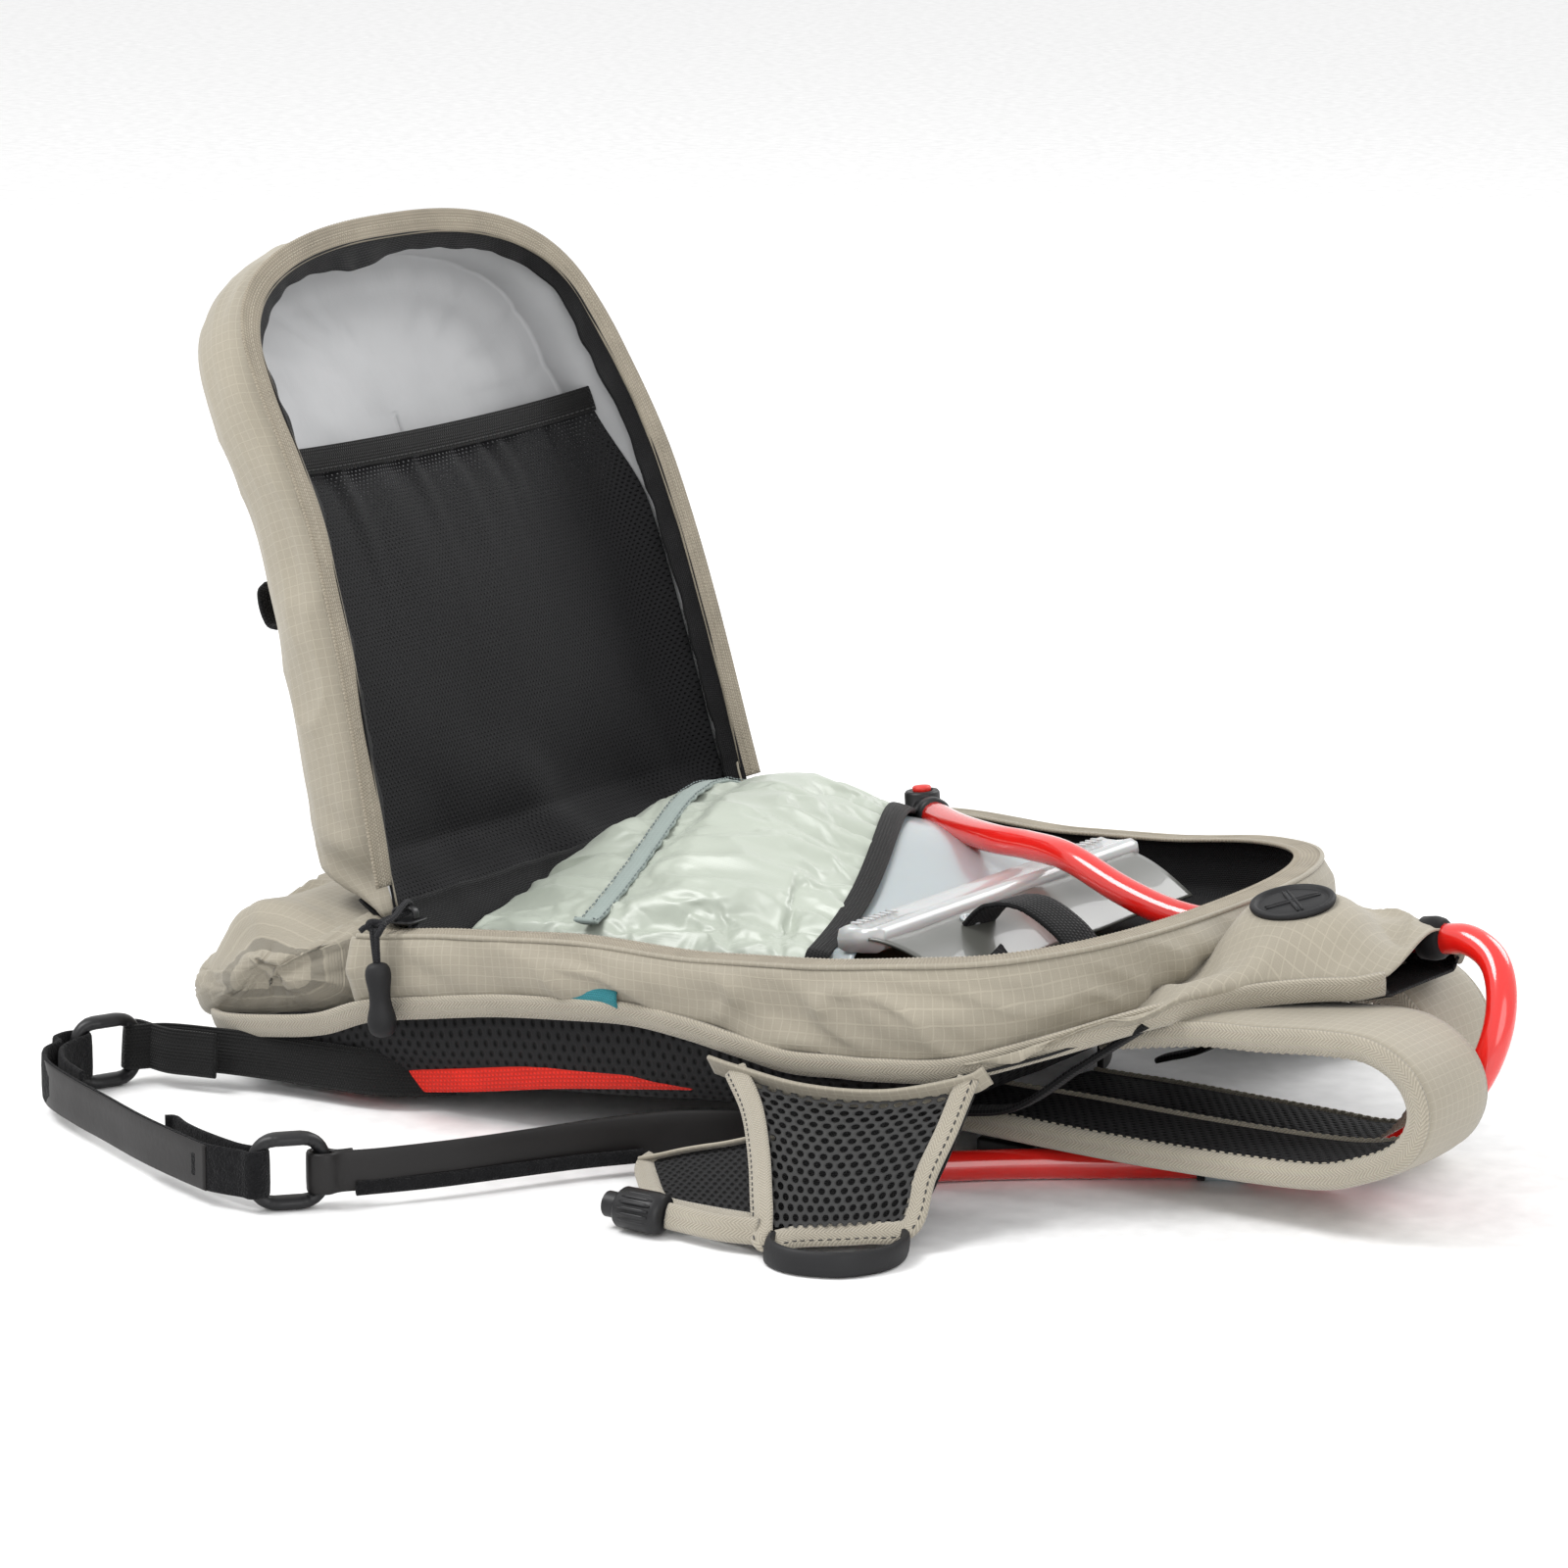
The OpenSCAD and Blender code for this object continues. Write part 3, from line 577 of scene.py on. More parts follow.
def plain(name, base, rough, grain=0.08, scale=900, **fixed):
    """Moulded or smooth surface with fine grain and faint scuffs."""
    g = Graph(name, base, rough, **fixed)
    scuff = g.noise(scale * 0.12, 5)
    g.tint(scuff, 0.8, 1.25)
    g.rough(scuff, max(0.02, rough - 0.08), rough + 0.12)
    g.bump(g.noise(scale, 2), grain, 0.5)
    return g.m


def fuzz(name, base):
    """The loop side of hook-and-loop tape."""
    g = Graph(name, base, 0.95, Sheen_Weight=0.06, Sheen_Roughness=0.35, Specular_IOR_Level=0.1)
    n = g.noise(1500, 4)
    g.tint(g.math("MULTIPLY_ADD", g.noise(240, 4), 0.5, g.math("MULTIPLY", n, 0.5)), 0.2, 3.2)
    g.bump(n, 0.9, 1.0, after=g.bump(g.noise(420, 5), 1.2, 0.8))
    return g.m


def satin(name, base, rough, **fixed):
    """Thin shiny nylon with fine creases."""
    g = Graph(name, base, rough, **fixed)
    soft = g.noise(30, 4)
    g.tint(soft, 0.84, 1.12)
    g.rough(g.noise(22, 3), rough - 0.08, rough + 0.14)
    u, v = g.cloth()
    weave = g.math("MULTIPLY", g.wave(u, 0.5), g.wave(v, 0.5))
    first = g.bump(g.noise(42, 4, stretch=(1, 2.6, 1)), 1.2, 0.3)
    g.bump(weave, 0.04, 0.5, after=first)
    return g.m


TAN = (0.300, 0.270, 0.212)
TAN_LIGHT = (0.335, 0.302, 0.240)
BLACK = (0.006, 0.006, 0.0065)
MAT = {
    "tan": ripstop("tan_ripstop", TAN),
    "binding": herringbone("tan_herringbone", TAN_LIGHT),
    "zip_tape": webbing("zip_tape", (0.27, 0.238, 0.185), pitch=1.1, rough=0.8),
    "teeth": plain("zip_teeth", (0.25, 0.218, 0.165), 0.42, grain=0.03, Coat_Weight=0.1),
    "thread": webbing("tan_thread", (0.40, 0.36, 0.29), pitch=0.6),
    "thread_dark": webbing("dark_thread", (0.05, 0.05, 0.05), pitch=0.6),
    "thread_grey": webbing("grey_thread", (0.16, 0.19, 0.19), pitch=0.6),
    "lining": satin("grey_lining", (0.40, 0.403, 0.41), 0.55, Sheen_Weight=0.1),
    "pocket": netting("pocket_mesh", (0.006, 0.006, 0.0065), 1.7, 1.45, 0.30, open_above=150, deep=0.35),
    "spacer": netting("spacer_mesh", (0.010, 0.010, 0.0105), 3.6, 2.3, 0.75, deep=0.7),
    "wing": netting("wing_mesh", (0.022, 0.022, 0.022), 4.1, 3.3, 1.25, open_all=True, rough=0.45,
                    deep=0.4),
    "black_web": webbing("black_webbing", BLACK, pitch=1.3),
    "elastic": webbing("black_elastic", (0.006, 0.006, 0.006), pitch=1.0, ribs=1.15),
    "tape_black": webbing("seam_tape", (0.006, 0.006, 0.0065), pitch=0.7, rough=0.62),
    "red_web": webbing("red_webbing", (0.62, 0.022, 0.012), pitch=1.5, rough=0.6),
    "fuzz": fuzz("loop_tape", (0.006, 0.006, 0.0065)),
    "strap_smooth": plain("smooth_strap", (0.008, 0.007, 0.007), 0.45, grain=0.12, scale=500,
                          Specular_IOR_Level=0.3),
    "plastic": plain("black_plastic", (0.008, 0.008, 0.009), 0.40, grain=0.05, scale=1300,
                     Specular_IOR_Level=0.35),
    "rubber": plain("black_rubber", (0.010, 0.010, 0.011), 0.55, grain=0.12, scale=800,
                    Specular_IOR_Level=0.3),
    "sleeve": satin("sage_nylon", (0.37, 0.405, 0.345), 0.33, Sheen_Weight=0.1, Specular_IOR_Level=0.6,
                    Coat_Weight=0.12, Coat_Roughness=0.35),
    "sleeve_mesh": ripstop("sage_channel", (0.25, 0.30, 0.28), cell=1.5, rough=0.6),
    "film": plain("milky_film", (0.46, 0.455, 0.445), 0.24, grain=0.05, scale=60, Coat_Weight=0.4,
                  Coat_Roughness=0.12, Transmission_Weight=0.22, Subsurface_Weight=0.25, Alpha=1.0),
    "film_edge": plain("clear_bar", (0.56, 0.56, 0.56), 0.22, grain=0.03, scale=120, Coat_Weight=0.5,
                       Transmission_Weight=0.35, Subsurface_Weight=0.15),
    # The bag's folded top is the same milky film, painted much darker: painted shade.
    "film_painted_shade": plain("folded_film_painted_shade", (0.11, 0.112, 0.10), 0.28, grain=0.05, scale=80, Coat_Weight=0.35,
                       Transmission_Weight=0.25),
    "hose": plain("red_tube", (0.70, 0.014, 0.010), 0.16, grain=0.02, scale=90, Coat_Weight=0.8,
                  Coat_Roughness=0.05, Transmission_Weight=0.18, Subsurface_Weight=0.3),
    "silicone": plain("red_silicone", (0.58, 0.02, 0.014), 0.4, grain=0.05, scale=500,
                      Subsurface_Weight=0.2),
    "silver": plain("reflective_tape", (0.50, 0.56, 0.60), 0.32, grain=0.03, scale=1500, Metallic=0.4),
    "tag": webbing("teal_tag", (0.03, 0.19, 0.22), pitch=0.7),
    "cord": webbing("black_cord", (0.014, 0.014, 0.016), pitch=0.9, rough=0.6),
    "foam": plain("back_foam", (0.05, 0.05, 0.052), 0.9, grain=0.4, scale=400),
    # Dark grey: real print on the bag, and painted shade in the grommet's slits.
    "print_and_shade": plain("grey_print_and_painted_shade", (0.02, 0.022, 0.025), 0.5, grain=0.02),
}


def coat(node, mat):
    """Gives a CAD node that stays in view its material."""
    frame["nodes"][node].data.materials.clear()
    frame["nodes"][node].data.materials.append(MAT[mat])


# ------------------------------------------------------------------ camera and stage
AZIMUTH, ELEVATION = radians(35.2), radians(12.6)
CAM_BACK = Vector((sin(AZIMUTH) * cos(ELEVATION), -cos(AZIMUTH) * cos(ELEVATION),
                   sin(ELEVATION)))
CAM_TARGET = FLOOR @ Vector((-31, 0, 98))
camera = bpy.data.objects.new("camera", bpy.data.cameras.new("camera"))
bpy.context.scene.collection.objects.link(camera)
camera.data.lens, camera.data.sensor_width = 133.4, 36
camera.data.clip_start, camera.data.clip_end = 0.05, 20
camera.location = CAM_TARGET + CAM_BACK * 1.898
camera.rotation_mode = "QUATERNION"
camera.rotation_quaternion = (-CAM_BACK).to_track_quat("-Z", "Y")
bpy.context.scene.camera = camera

ground = bpy.data.meshes.new("ground")
ground.from_pydata([(-6, -6, 0), (6, -6, 0), (6, 6, 0), (-6, 6, 0)], [], [[0, 1, 2, 3]])
ground.materials.append(plain("pale_floor", (0.92, 0.92, 0.92), 0.7, grain=0.01))
floor = bpy.data.objects.new("ground", ground)
bpy.context.scene.collection.objects.link(floor)

world = bpy.data.worlds.new("studio")
world.use_nodes = True
world.node_tree.nodes["Background"].inputs[0].default_value = (1, 1, 1, 1)
world.node_tree.nodes["Background"].inputs[1].default_value = 1.0
bpy.context.scene.world = world
bpy.context.scene.view_settings.view_transform = "Standard"


def light(name, place, size, power):
    lamp = bpy.data.lights.new(name, "AREA")
    lamp.shape, lamp.size, lamp.energy = "DISK", size, power
    obj = bpy.data.objects.new(name, lamp)
    obj.location = place
    obj.rotation_mode = "QUATERNION"
    obj.rotation_quaternion = (Vector(place) - Vector((0, 0, 0.08))).to_track_quat("Z", "Y")
    bpy.context.scene.collection.objects.link(obj)


light("key", (-0.9, -0.9, 1.9), 1.1, 34)
light("fill", (1.7, -1.2, 1.0), 1.6, 14)
light("rim_light", (0.4, 1.6, 1.3), 1.2, 16)


# ------------------------------------------------------------------ cords first
PORT = Vector((BAG_END - 63, BAG_HALF - 5, 9.2))
HOSE_WAY = Vector((0.777, -0.63, 0))
SEAL_X = BAG_END + 13
BORE_Y, BORE_Z = 8.0, -8.0
HOSE_IN_PACK = [
    PORT + HOSE_WAY * 14.2,
    (PORT.x + 33, PORT.y - 27, 9.4), (PORT.x + 57, PORT.y - 43, 10), (SEAL_X - 1, 26, 10),
    (SEAL_X + 20, 17, 8.8), (SEAL_X + 43, 11, 0.5), (SEAL_X + 63, BORE_Y + 0.5, -5.6),
    (LENGTH, BORE_Y, BORE_Z), (LENGTH + 26, BORE_Y, BORE_Z), (LENGTH + 52, BORE_Y, BORE_Z),
    (NECK_END, BORE_Y, BORE_Z)]
HOSE_ON_FLOOR = [
    (219, 6.5, 80.4), (229, 3, 77.2), (235.5, -2.5, 70), (238, -8, 59.5), (236, -12, 48), (230, -14, 37),
    (220.5, -14.5, 27), (208, -14, 18), (195, -13, 10.5), (178, -13, 6.6), (160, -18, 5.2),
    (142, -28, 5.1), (124, -41, 5.1), (106, -54, 5.1), (89, -68, 5.1), (74, -84, 5.5),
    (62, -101, 6.5)]
ROUTE = [PACK @ Vector(p) for p in HOSE_IN_PACK] + [FLOOR @ Vector(p) for p in HOSE_ON_FLOOR]
HOSE_LINE = Path(curve_through(ROUTE, 6))

spline_data = bpy.data.curves.new("drink_hose", "CURVE")
spline_data.dimensions = "3D"
spline_data.bevel_depth, spline_data.bevel_resolution = HOSE_R * MM, 6
spline_data.use_fill_caps = True
line = spline_data.splines.new("POLY")
line.points.add(len(HOSE_LINE.p) - 1)
for point, q in zip(line.points, HOSE_LINE.p):
    point.co = (*q, 1)
line.use_smooth = True
hose = bpy.data.objects.new("drink_hose", spline_data)
bpy.context.scene.collection.objects.link(hose)
spline_data.materials.append(MAT["hose"])
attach(hose, "pack")
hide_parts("hose")

VALVE_WAY = Vector((-0.577, -0.817, 0))
VALVE = Vector((62, -101, 6.6))
valve = lathe(
    "valve_housing", [(0.2, 4.9), (0.6, 5.6), (1.4, 6.1), (3, 6.3), (6, 6.3), (6.6, 5.9), (7.2, 5.9),
    (7.8, 6.3), (13, 6.3), (14.4, 5.9), (15.1, 5.0)], VALVE, VALVE_WAY, FLOOR, "plastic")
collar = lathe(
    "valve_collar", [(0, 4.4), (4.6, 4.4), (5.0, 4.1)], VALVE + VALVE_WAY * 8 + Vector((0, 0, 2.4)),
    (0, 0, 1), FLOOR, "plastic", sides=24)
valve = join("valve_housing", [valve, collar])
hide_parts("valve_body")
bite = lathe(
    "bite_mouthpiece", [(15.4, 4.2), (16.2, 4.9), (18, 5.0), (20, 4.4), (22.5, 4.3), (25.5, 4.9),
    (27, 4.5), (27.4, 3.6)], VALVE, VALVE_WAY, FLOOR, "silicone", squeeze=0.78, sub=1,
    replaces="bite_valve")
KEEPER_A, KEEPER_B = Vector((160, -18, 5.2)), Vector((142, -28, 5.1))
KEEPER_WAY = (KEEPER_B - KEEPER_A).normalized()
KEEPER = KEEPER_A + (KEEPER_B - KEEPER_A) * 0.12
keeper = lathe(
    "reflective_sleeve", [(2.6, 5.0), (2.9, 5.2), (12.6, 5.2), (12.9, 5.0)], KEEPER, KEEPER_WAY, FLOOR,
    "silver", replaces="hose_keeper")
cuff_a = lathe(
    "sleeve_cuff_a", [(0, 4.95), (0.3, 5.4), (2.3, 5.4), (2.6, 5.0)], KEEPER, KEEPER_WAY, FLOOR, "cord")
cuff_b = lathe(
    "sleeve_cuff_b", [(12.9, 5.0), (13.2, 5.4), (15.2, 5.4), (15.5, 4.95)], KEEPER, KEEPER_WAY, FLOOR,
    "cord")

# ------------------------------------------------------------------ body wall
BODY_LOW = [(-74, -31), (-55, -33), (-30, -31), (10, -23), (45, -20), (92, -19.5), (130, -24), (150, -32),
            (190, -33), (223, -33), (262, -27), (290, -20)]
RIM_SAG = [(0, 0.0), (35, 1.2), (75, 1.5), (130, -2.2), (165, -2.4), (210, -0.5), (245, 0.0)]


def low_edge(x):
    return table(x, BODY_LOW)


def rim_lift(x):
    return table(x, RIM_SAG)


def wall(u, v):
    """Outer side of the tub from the zip (v 0) to the binding (v 1)."""
    p = rim_at(u, 9.4, -4)
    q = rim_at(u, 9.4 + 3.6 * arch(v) ** 0.8 - 0.8 * v, -4)
    low = max(low_edge(p.x), -33) if p.x < 250 else -22
    z = lerp(rim_lift(p.x) - 0.6, low + 1.5, v)
    s = u * 640
    deep = arch(clamp(v * 1.02)) ** 0.7
    fold = 2.2 * ripple(s, z * 2.4, 3, 34) + 1.1 * ripple(s * 1.6 + z * 2.0, z, 9, 16)
    fold += 1.5 * sin((s + 2.1 * z) / 9.0) * ripple(s, 0, 21, 60)
    fold += 1.5 * creased(s * 0.8 + z * 0.9, z * 1.7, 23, 24)
    k = deep * fold
    out = (q - Vector((clamp(q.x, 0, 190), 0, 0))).normalized()
    return (q.x + out.x * k, q.y + out.y * k, z - 0.7 * abs(k) * 0.4)


surface("tub_side_wall", wall, 300, 18, PACK, "tan", thick=0.7, replaces="body_tub")


def tub_inside(u, v):
    """Black facing: down the inside of the wall, then across the floor to the middle line."""
    if v < 0.28:
        k = v / 0.28
        p = rim_at(u, 6.8 - 0.6 * k, -2)
        return (p.x, p.y, lerp(-0.9 + rim_lift(p.x), -19.5, k))
    p = rim_at(u, 6.2, -2)
    k = (v - 0.28) / 0.72
    mid = Vector((clamp(p.x, -2, 170), 0, 0))
    q = p.lerp(mid, k)
    return (q.x, q.y, -20.2 + 0.8 * ripple(q.x, q.y, 4, 22) * arch(k) ** 0.5)


inside = surface(
    "tub_black_facing", tub_inside, 160, 26, PACK, "tape_black", thick=0.5, replaces="tub_lining")


# ------------------------------------------------------------------ base gusset
BASE_RING = [(-3, 0.5), (-12, 2.5), (-26, 6), (-42, 9.5), (-56, 9.5), (-66, 3.5), (-74, -6), (-82.5, -17),
             (-82.5, -26), (-79, -33.4), (-45, -33.4), (-20, -28), (-4, -24), (-3, -12)]
base_line = Path(curve_through([Vector((*p, 0)) for p in BASE_RING + BASE_RING[:1]], 14))


def base(u, v):
    """A sagging roll across the pack; v 0 and 1 are its two ends, drawn in to a soft cap."""
    y = lerp(-HALF0 - 10, HALF0 + 10, v)
    end = min(v, 1 - v) * (2 * HALF0 + 20)
    pull = 1 - 0.62 * (1 - smooth(end, 0, 11)) ** 2.2
    p = base_line.at(u)
    c = Vector((-36, -11, 0))
    q = c + (p - c) * pull
    fade = smooth(end, 0, 20)
    fold = 3.0 * ripple(q.x * 1.2, y * 0.7, q.y, 34) * (0.4 + 0.6 * fade)
    fold += 1.6 * (1 - abs(ripple(q.x * 0.8 + 0.5 * y, y * 0.35, q.y * 0.6 + 40, 24))) ** 3
    out = (q - c).normalized()
    top = smooth(q.x, -80, -40) * smooth(-q.x, 0, 22)
    q = q + out * fold * (0.35 + 0.65 * top)
    bow = 1.5 * (1 - (2 * v - 1) ** 6)
    return (q.x - bow * (q.x < -60), y + 3.5 * (1 - pull) * (1 if v > 0.5 else -1), max(q.y, -33.6))


def capped(name, fn, nu, nv, place, mat):
    """A closed roll: rings at each v, with both ends filled toward their middles."""
    rings = []
    for j in range(nv + 1):
        rings.append([Vector(fn(i / nu, j / nv)) for i in range(nu)])
    for end in (0, -1):
        ring = rings[end]
        mid = sum(ring, Vector()) / nu
        bulge = Vector((0, -1.2 if end == 0 else 1.2, 0))
        extra = [[p.lerp(mid, k) + bulge * k for p in ring] for k in (0.25, 0.5, 0.75, 0.96)]
        rings = extra[::-1] + rings if end == 0 else rings + extra
    verts = [place @ p for r in rings for p in r]
    marks = []
    for j, r in enumerate(rings):
        ended = j < 5 or j > len(rings) - 6
        run = 0.0
        for p, before in zip(r, [r[0]] + r):
            run += (p - before).length
            marks.append((p.x, p.z) if ended else (run, p.y))
    return piece(name, verts, ring_faces(len(rings), nu, turned=True), mat, cloth=marks)


base_piece = capped("base_gusset", base, 110, 130, PACK, "tan")
relax(base_piece, 14)
billow(base_piece, 2.0, 4.0, lambda i, p: (PACK.inverted() @ p).z < -26 or (PACK.inverted() @ p).x > -10,
       grow=0.05)
crumple(base_piece, 0.8, 38, 6)
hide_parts("bottom_gusset")


def seam(u, v):
    """Inner hinge panel between the tub and the open panel."""
    y = lerp(-HALF0 + 9, HALF0 - 9, u)
    x = lerp(11, 1.5, smooth(v)) + 0.8 * ripple(y, v * 20, 2, 18)
    z = -19 + 27 * v ** 0.8 + 0.6 * ripple(y, v * 30, 8, 12)
    return (x, y, z)


seam_piece = surface("hinge_facing", seam, 90, 12, PACK, "tape_black", thick=0.8, replaces="hinge_seam")

# ------------------------------------------------------------------ back pad
PAD_END = STRAIGHT + 10


def body_loop(off, corner=24.0, x0=-74.0, x1=PAD_END):
    """Closed outline of the back pad with round corners, grown by off."""
    pts = []
    for k in range(9):
        a = radians(180 + 90 * k / 8)
        pts.append((x0 + corner - off + corner * cos(a), corner - off - half_at(0) + corner * sin(a)))
    for k in range(1, 25):
        x = lerp(x0 + corner, x1 - 30, k / 24)
        pts.append((x, -half_at(max(x, 0)) - off))
    for k in range(1, 9):
        a = radians(-90 + 90 * k / 8)
        pts.append((x1 - 30 + (30 + off) * cos(a), -half_at(x1) + 30 + (30 + off) * sin(a)))
    mirrored = [(x, -y) for x, y in reversed(pts)]
    return Path(pts + mirrored, loop=True)


PAD_OUT, PAD_IN = body_loop(4.0), body_loop(-22.0)


def pad(u, v):
    """Mesh-covered foam: from under the binding, round the lower edge and across the underside."""
    if v < 0.34:
        k = v / 0.34
        p = PAD_OUT.at(u)
        q = p.lerp(PAD_IN.at(u), 0.30 * k ** 2.4 - 0.05 * arch(k))
        top = low_edge(p.x) + 3
        z = lerp(top, -49, k ** 0.9)
    else:
        k = (v - 0.34) / 0.66
        p = PAD_OUT.at(u).lerp(PAD_IN.at(u), 0.30)
        mid = Vector((clamp(p.x, -30, 160), 0, 0))
        q = p.lerp(mid, k)
        z = -49 - 1.6 * arch(min(1, k * 1.6)) ** 0.7
        z += 3.2 * exp(-((q.y) / 13.0) ** 2) * smooth(k, 0.2, 0.6)
    z += 0.5 * ripple(q.x, q.y, z, 20)
    return (q.x, q.y, z)


pad_piece = surface(
    "spacer_back_pad", pad, 240, 44, PACK, "spacer", loop=True, thick=0.9, replaces="back_mesh back_foam")

coat("lumbar_pad", "foam")

# red webbing round the pad's lower edge, both sides
for tag, k in (("near", -1), ("far", 1)):
    pts = [(x, k * (half_at(max(x, 0)) + dy), z) for x, dy, z in (
        (-28, -7, -50.8), (0, -3, -49.8), (30, -0.5, -47.6), (62, 0.2, -44.6), (95, 0.4, -42.8),
        (125, 0.2, -41.5),
        (150, -0.5, -40.5))]
    webbed = strip(
        "red_edge_webbing_" + tag, pts, lambda t: (0, -0.35, 1), 9.0, 1.6, PACK, "red_web", crown=0.15)
    if tag == "near":
        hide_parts("back_webbing")

# ------------------------------------------------------------------ lower binding
def binding_path(side):
    pts = [(-79, side * 40, -32), (-79.5, side * 86, -32), (-76, side * 104, -32), (-64, side * 115.5, -33)]
    for x in (-40, -20, 0, 25, 50, 75, 100, 120, 140, 158, 175, 190):
        pts.append((x, side * (half_at(max(x, 0)) + 10.6), low_edge(x)))
    pts += [(215, side * 103, -32), (240, side * 88, -26.5), (262, side * 66, -21), (282, side * 44, -18),
            (300, side * 35, -16.5), (314, side * 31, -16), (320, side * 24, -15.5)]
    return Path(curve_through(pts, 8))


def binding_across(side, line):
    """The tape stands on edge and leans out a little."""
    def across(t):
        d = line.along(t)
        return UP + d.cross(UP) * (-0.25 * side)
    return across


near_line, far_line = binding_path(-1), binding_path(1)
TAPE = {"width": 8.0, "thick": 2.4, "place": PACK, "mat": "binding", "crown": 0.35}
strip("edge_tape_near", near_line, binding_across(-1, near_line), steps=240, replaces="edge_binding", **TAPE)
strip("edge_tape_far", far_line, binding_across(1, far_line), steps=240, **TAPE)
strip("edge_tape_back", [(-79, -42, -32), (-79.5, 0, -32.4), (-79, 42, -32)], (0.1, 0, 1), steps=40, **TAPE)


def stitches(name, line, place, lift, mat, pitch=2.6, length=1.7, r=0.28, start=0.0, **kw):
    """A row of thread stitches along a path, each moved by lift(t)."""
    n = int(line.length * (1 - start) / pitch)
    items = []
    for i in range(n):
        t = lerp(start, 1, (i + 0.5) / n)
        items.append((line.at(t) + Vector(lift(t)), line.along(t), length, r))
    beads(name, items, place, mat, sides=5, **kw)


for tag, side, line in (("near", -1, near_line), ("far", 1, far_line)):
    def lift(t):
        return line.along(t).cross(UP) * (1.45 * side) + Vector((0, 0, -2.4))

    stitches("edge_tape_stitch_" + tag, line, PACK, lift, "thread", pitch=3.0)


def tag_loop(u, v):
    return (lerp(80, 98, u), -half_at(88) - 11.4 - arch(v), lerp(-19.5, -12.5, v) + 1.5 * sin(3 * u))


surface("side_loop_tag", tag_loop, 14, 6, PACK, "tag", thick=0.5, replaces="side_tag")

# ------------------------------------------------------------------ neck yoke
YOKE_SIDE = [(158, HALF0 + 1.5, -26), (196, 105, -31), (217, 104, -30), (240, 92, -25), (262, 66, -20),
             (282, 44, -17), (300, 35, -15), (314, 31, -14), (321, 23, -13)]
yoke_near = Path(curve_through([(x, -y, z) for x, y, z in YOKE_SIDE], 8))
yoke_far = Path(curve_through(YOKE_SIDE, 8))
YOKE_FROM = 0.30


def yoke_rim(v):
    p = rim_at(lerp(YOKE_FROM, 1 - YOKE_FROM, v), 9.0, -4)
    return Vector((p.x, p.y, rim_lift(p.x) - 0.5))


def yoke_tip(v):
    return Vector((322.5 - 3.0 * (2 * v - 1) ** 4, lerp(-23, 23, v), -7.5 + 2.0 * arch(v)))


def yoke(u, v):
    """Fabric from the zip's round end to the neck, between the two shoulder edges."""
    a, b = yoke_rim(v), yoke_tip(v)
    c, d = yoke_near.at(u), yoke_far.at(u)
    p = (a.lerp(b, u) + c.lerp(d, v)
         - (yoke_rim(0).lerp(yoke_rim(1), v)).lerp(yoke_tip(0).lerp(yoke_tip(1), v), u))
    w = arch(v) ** 0.8
    rise = 15.0 * smooth(u, 0.0, 0.32) * (1 - 0.5 * smooth(u, 0.6, 1.0)) * w ** 1.5
    z = p.z + rise + 2.2 * exp(-((p.y - 8) / 16) ** 2) * smooth(u, 0.1, 0.3) * (1 - smooth(u, 0.85, 1.0))
    fade = smooth(u, 0, 0.06) * smooth(1 - u, 0, 0.05) * smooth(min(v, 1 - v), 0, 0.03)
    seat = exp(-(((p.x - (NECK_END - 38)) / 24) ** 2 + ((p.y + 14) / 20) ** 2) ** 2)
    crease = 2.6 * ripple(p.x * 0.9 + 0.5 * p.y, p.y * 0.8, 5, 26) + 1.3 * ripple(p.x * 1.4, p.y, 14, 12)
    crease -= 2.0 * (1 - abs(ripple(p.x * 0.5 + p.y * 0.9, p.y * 0.2, 31, 30))) ** 4
    crease += 1.5 * creased(p.x * 0.9, p.y * 0.8, 33, 24)
    z = z + crease * fade * (1 - 0.9 * seat)
    flat = 4.3 + (p.y + 14) * tan(radians(13)) * 0.9 + 0.2
    return (p.x, p.y, lerp(z, flat, clamp(seat * 1.15)))


surface(
    "neck_yoke_cloth", yoke, 110, 110, PACK, "tan", thick=0.8, cloth=lambda u,
    v: (yoke(u, v)[0], yoke(u, v)[1]), replaces="neck_yoke")


def yoke_under(u, v):
    """Black mesh that closes the yoke below."""
    c, d = yoke_near.at(lerp(0.12, 1, u)), yoke_far.at(lerp(0.12, 1, u))
    p = c.lerp(d, v)
    low = -27 + 7 * smooth(p.x, 240, 320)
    edge = smooth(min(v, 1 - v), 0, 0.09)
    return (p.x - 1.5, p.y, lerp(p.z - 3.5, low, edge) + 0.6 * ripple(p.x, p.y, 50, 20))


surface("yoke_underside", yoke_under, 60, 60, PACK, "spacer", thick=0.8, replaces="neck_binding")

PORT_SEAT = PACK @ Matrix.Translation((NECK_END - 38, -14, 4.3)) @ Matrix.Rotation(radians(13), 4, "X")
lathe(
    "hose_grommet", [(0.3, 13.2), (0.9, 13.7), (1.7, 13.9), (2.4, 13.5), (2.6, 12.6), (2.3, 11.9),
    (1.7, 11.6), (1.5, 10.9), (1.75, 10.2), (1.9, 7), (1.9, 0.1)], (0, 0, 0), (0, 0, 1),
    PORT_SEAT @ Matrix.Diagonal((1, 0.86, 1, 1)), "rubber", sides=72, replaces="hose_port")
for i, turn in enumerate((45, -45)):
    slit_way = Vector((cos(radians(turn)), sin(radians(turn)), 0))
    lips = []
    for k in (-1, 1):
        side = Vector((-slit_way.y, slit_way.x, 0)) * (0.75 * k)
        lips.append((side + Vector((0, 0, 1.95)), slit_way, 17.5, 0.55))
    beads("grommet_slit_%d" % i, lips, PORT_SEAT, "rubber", sides=8)
# Painted shade: thin dark rods in the slits stand for the shade between the lips.
beads(
    "grommet_gap", [(Vector((0, 0, 1.9)), (1, 1, 0), 17, 0.3),
    (Vector((0, 0, 1.9)), (1, -1, 0), 17, 0.3)], PORT_SEAT, "print_and_shade")
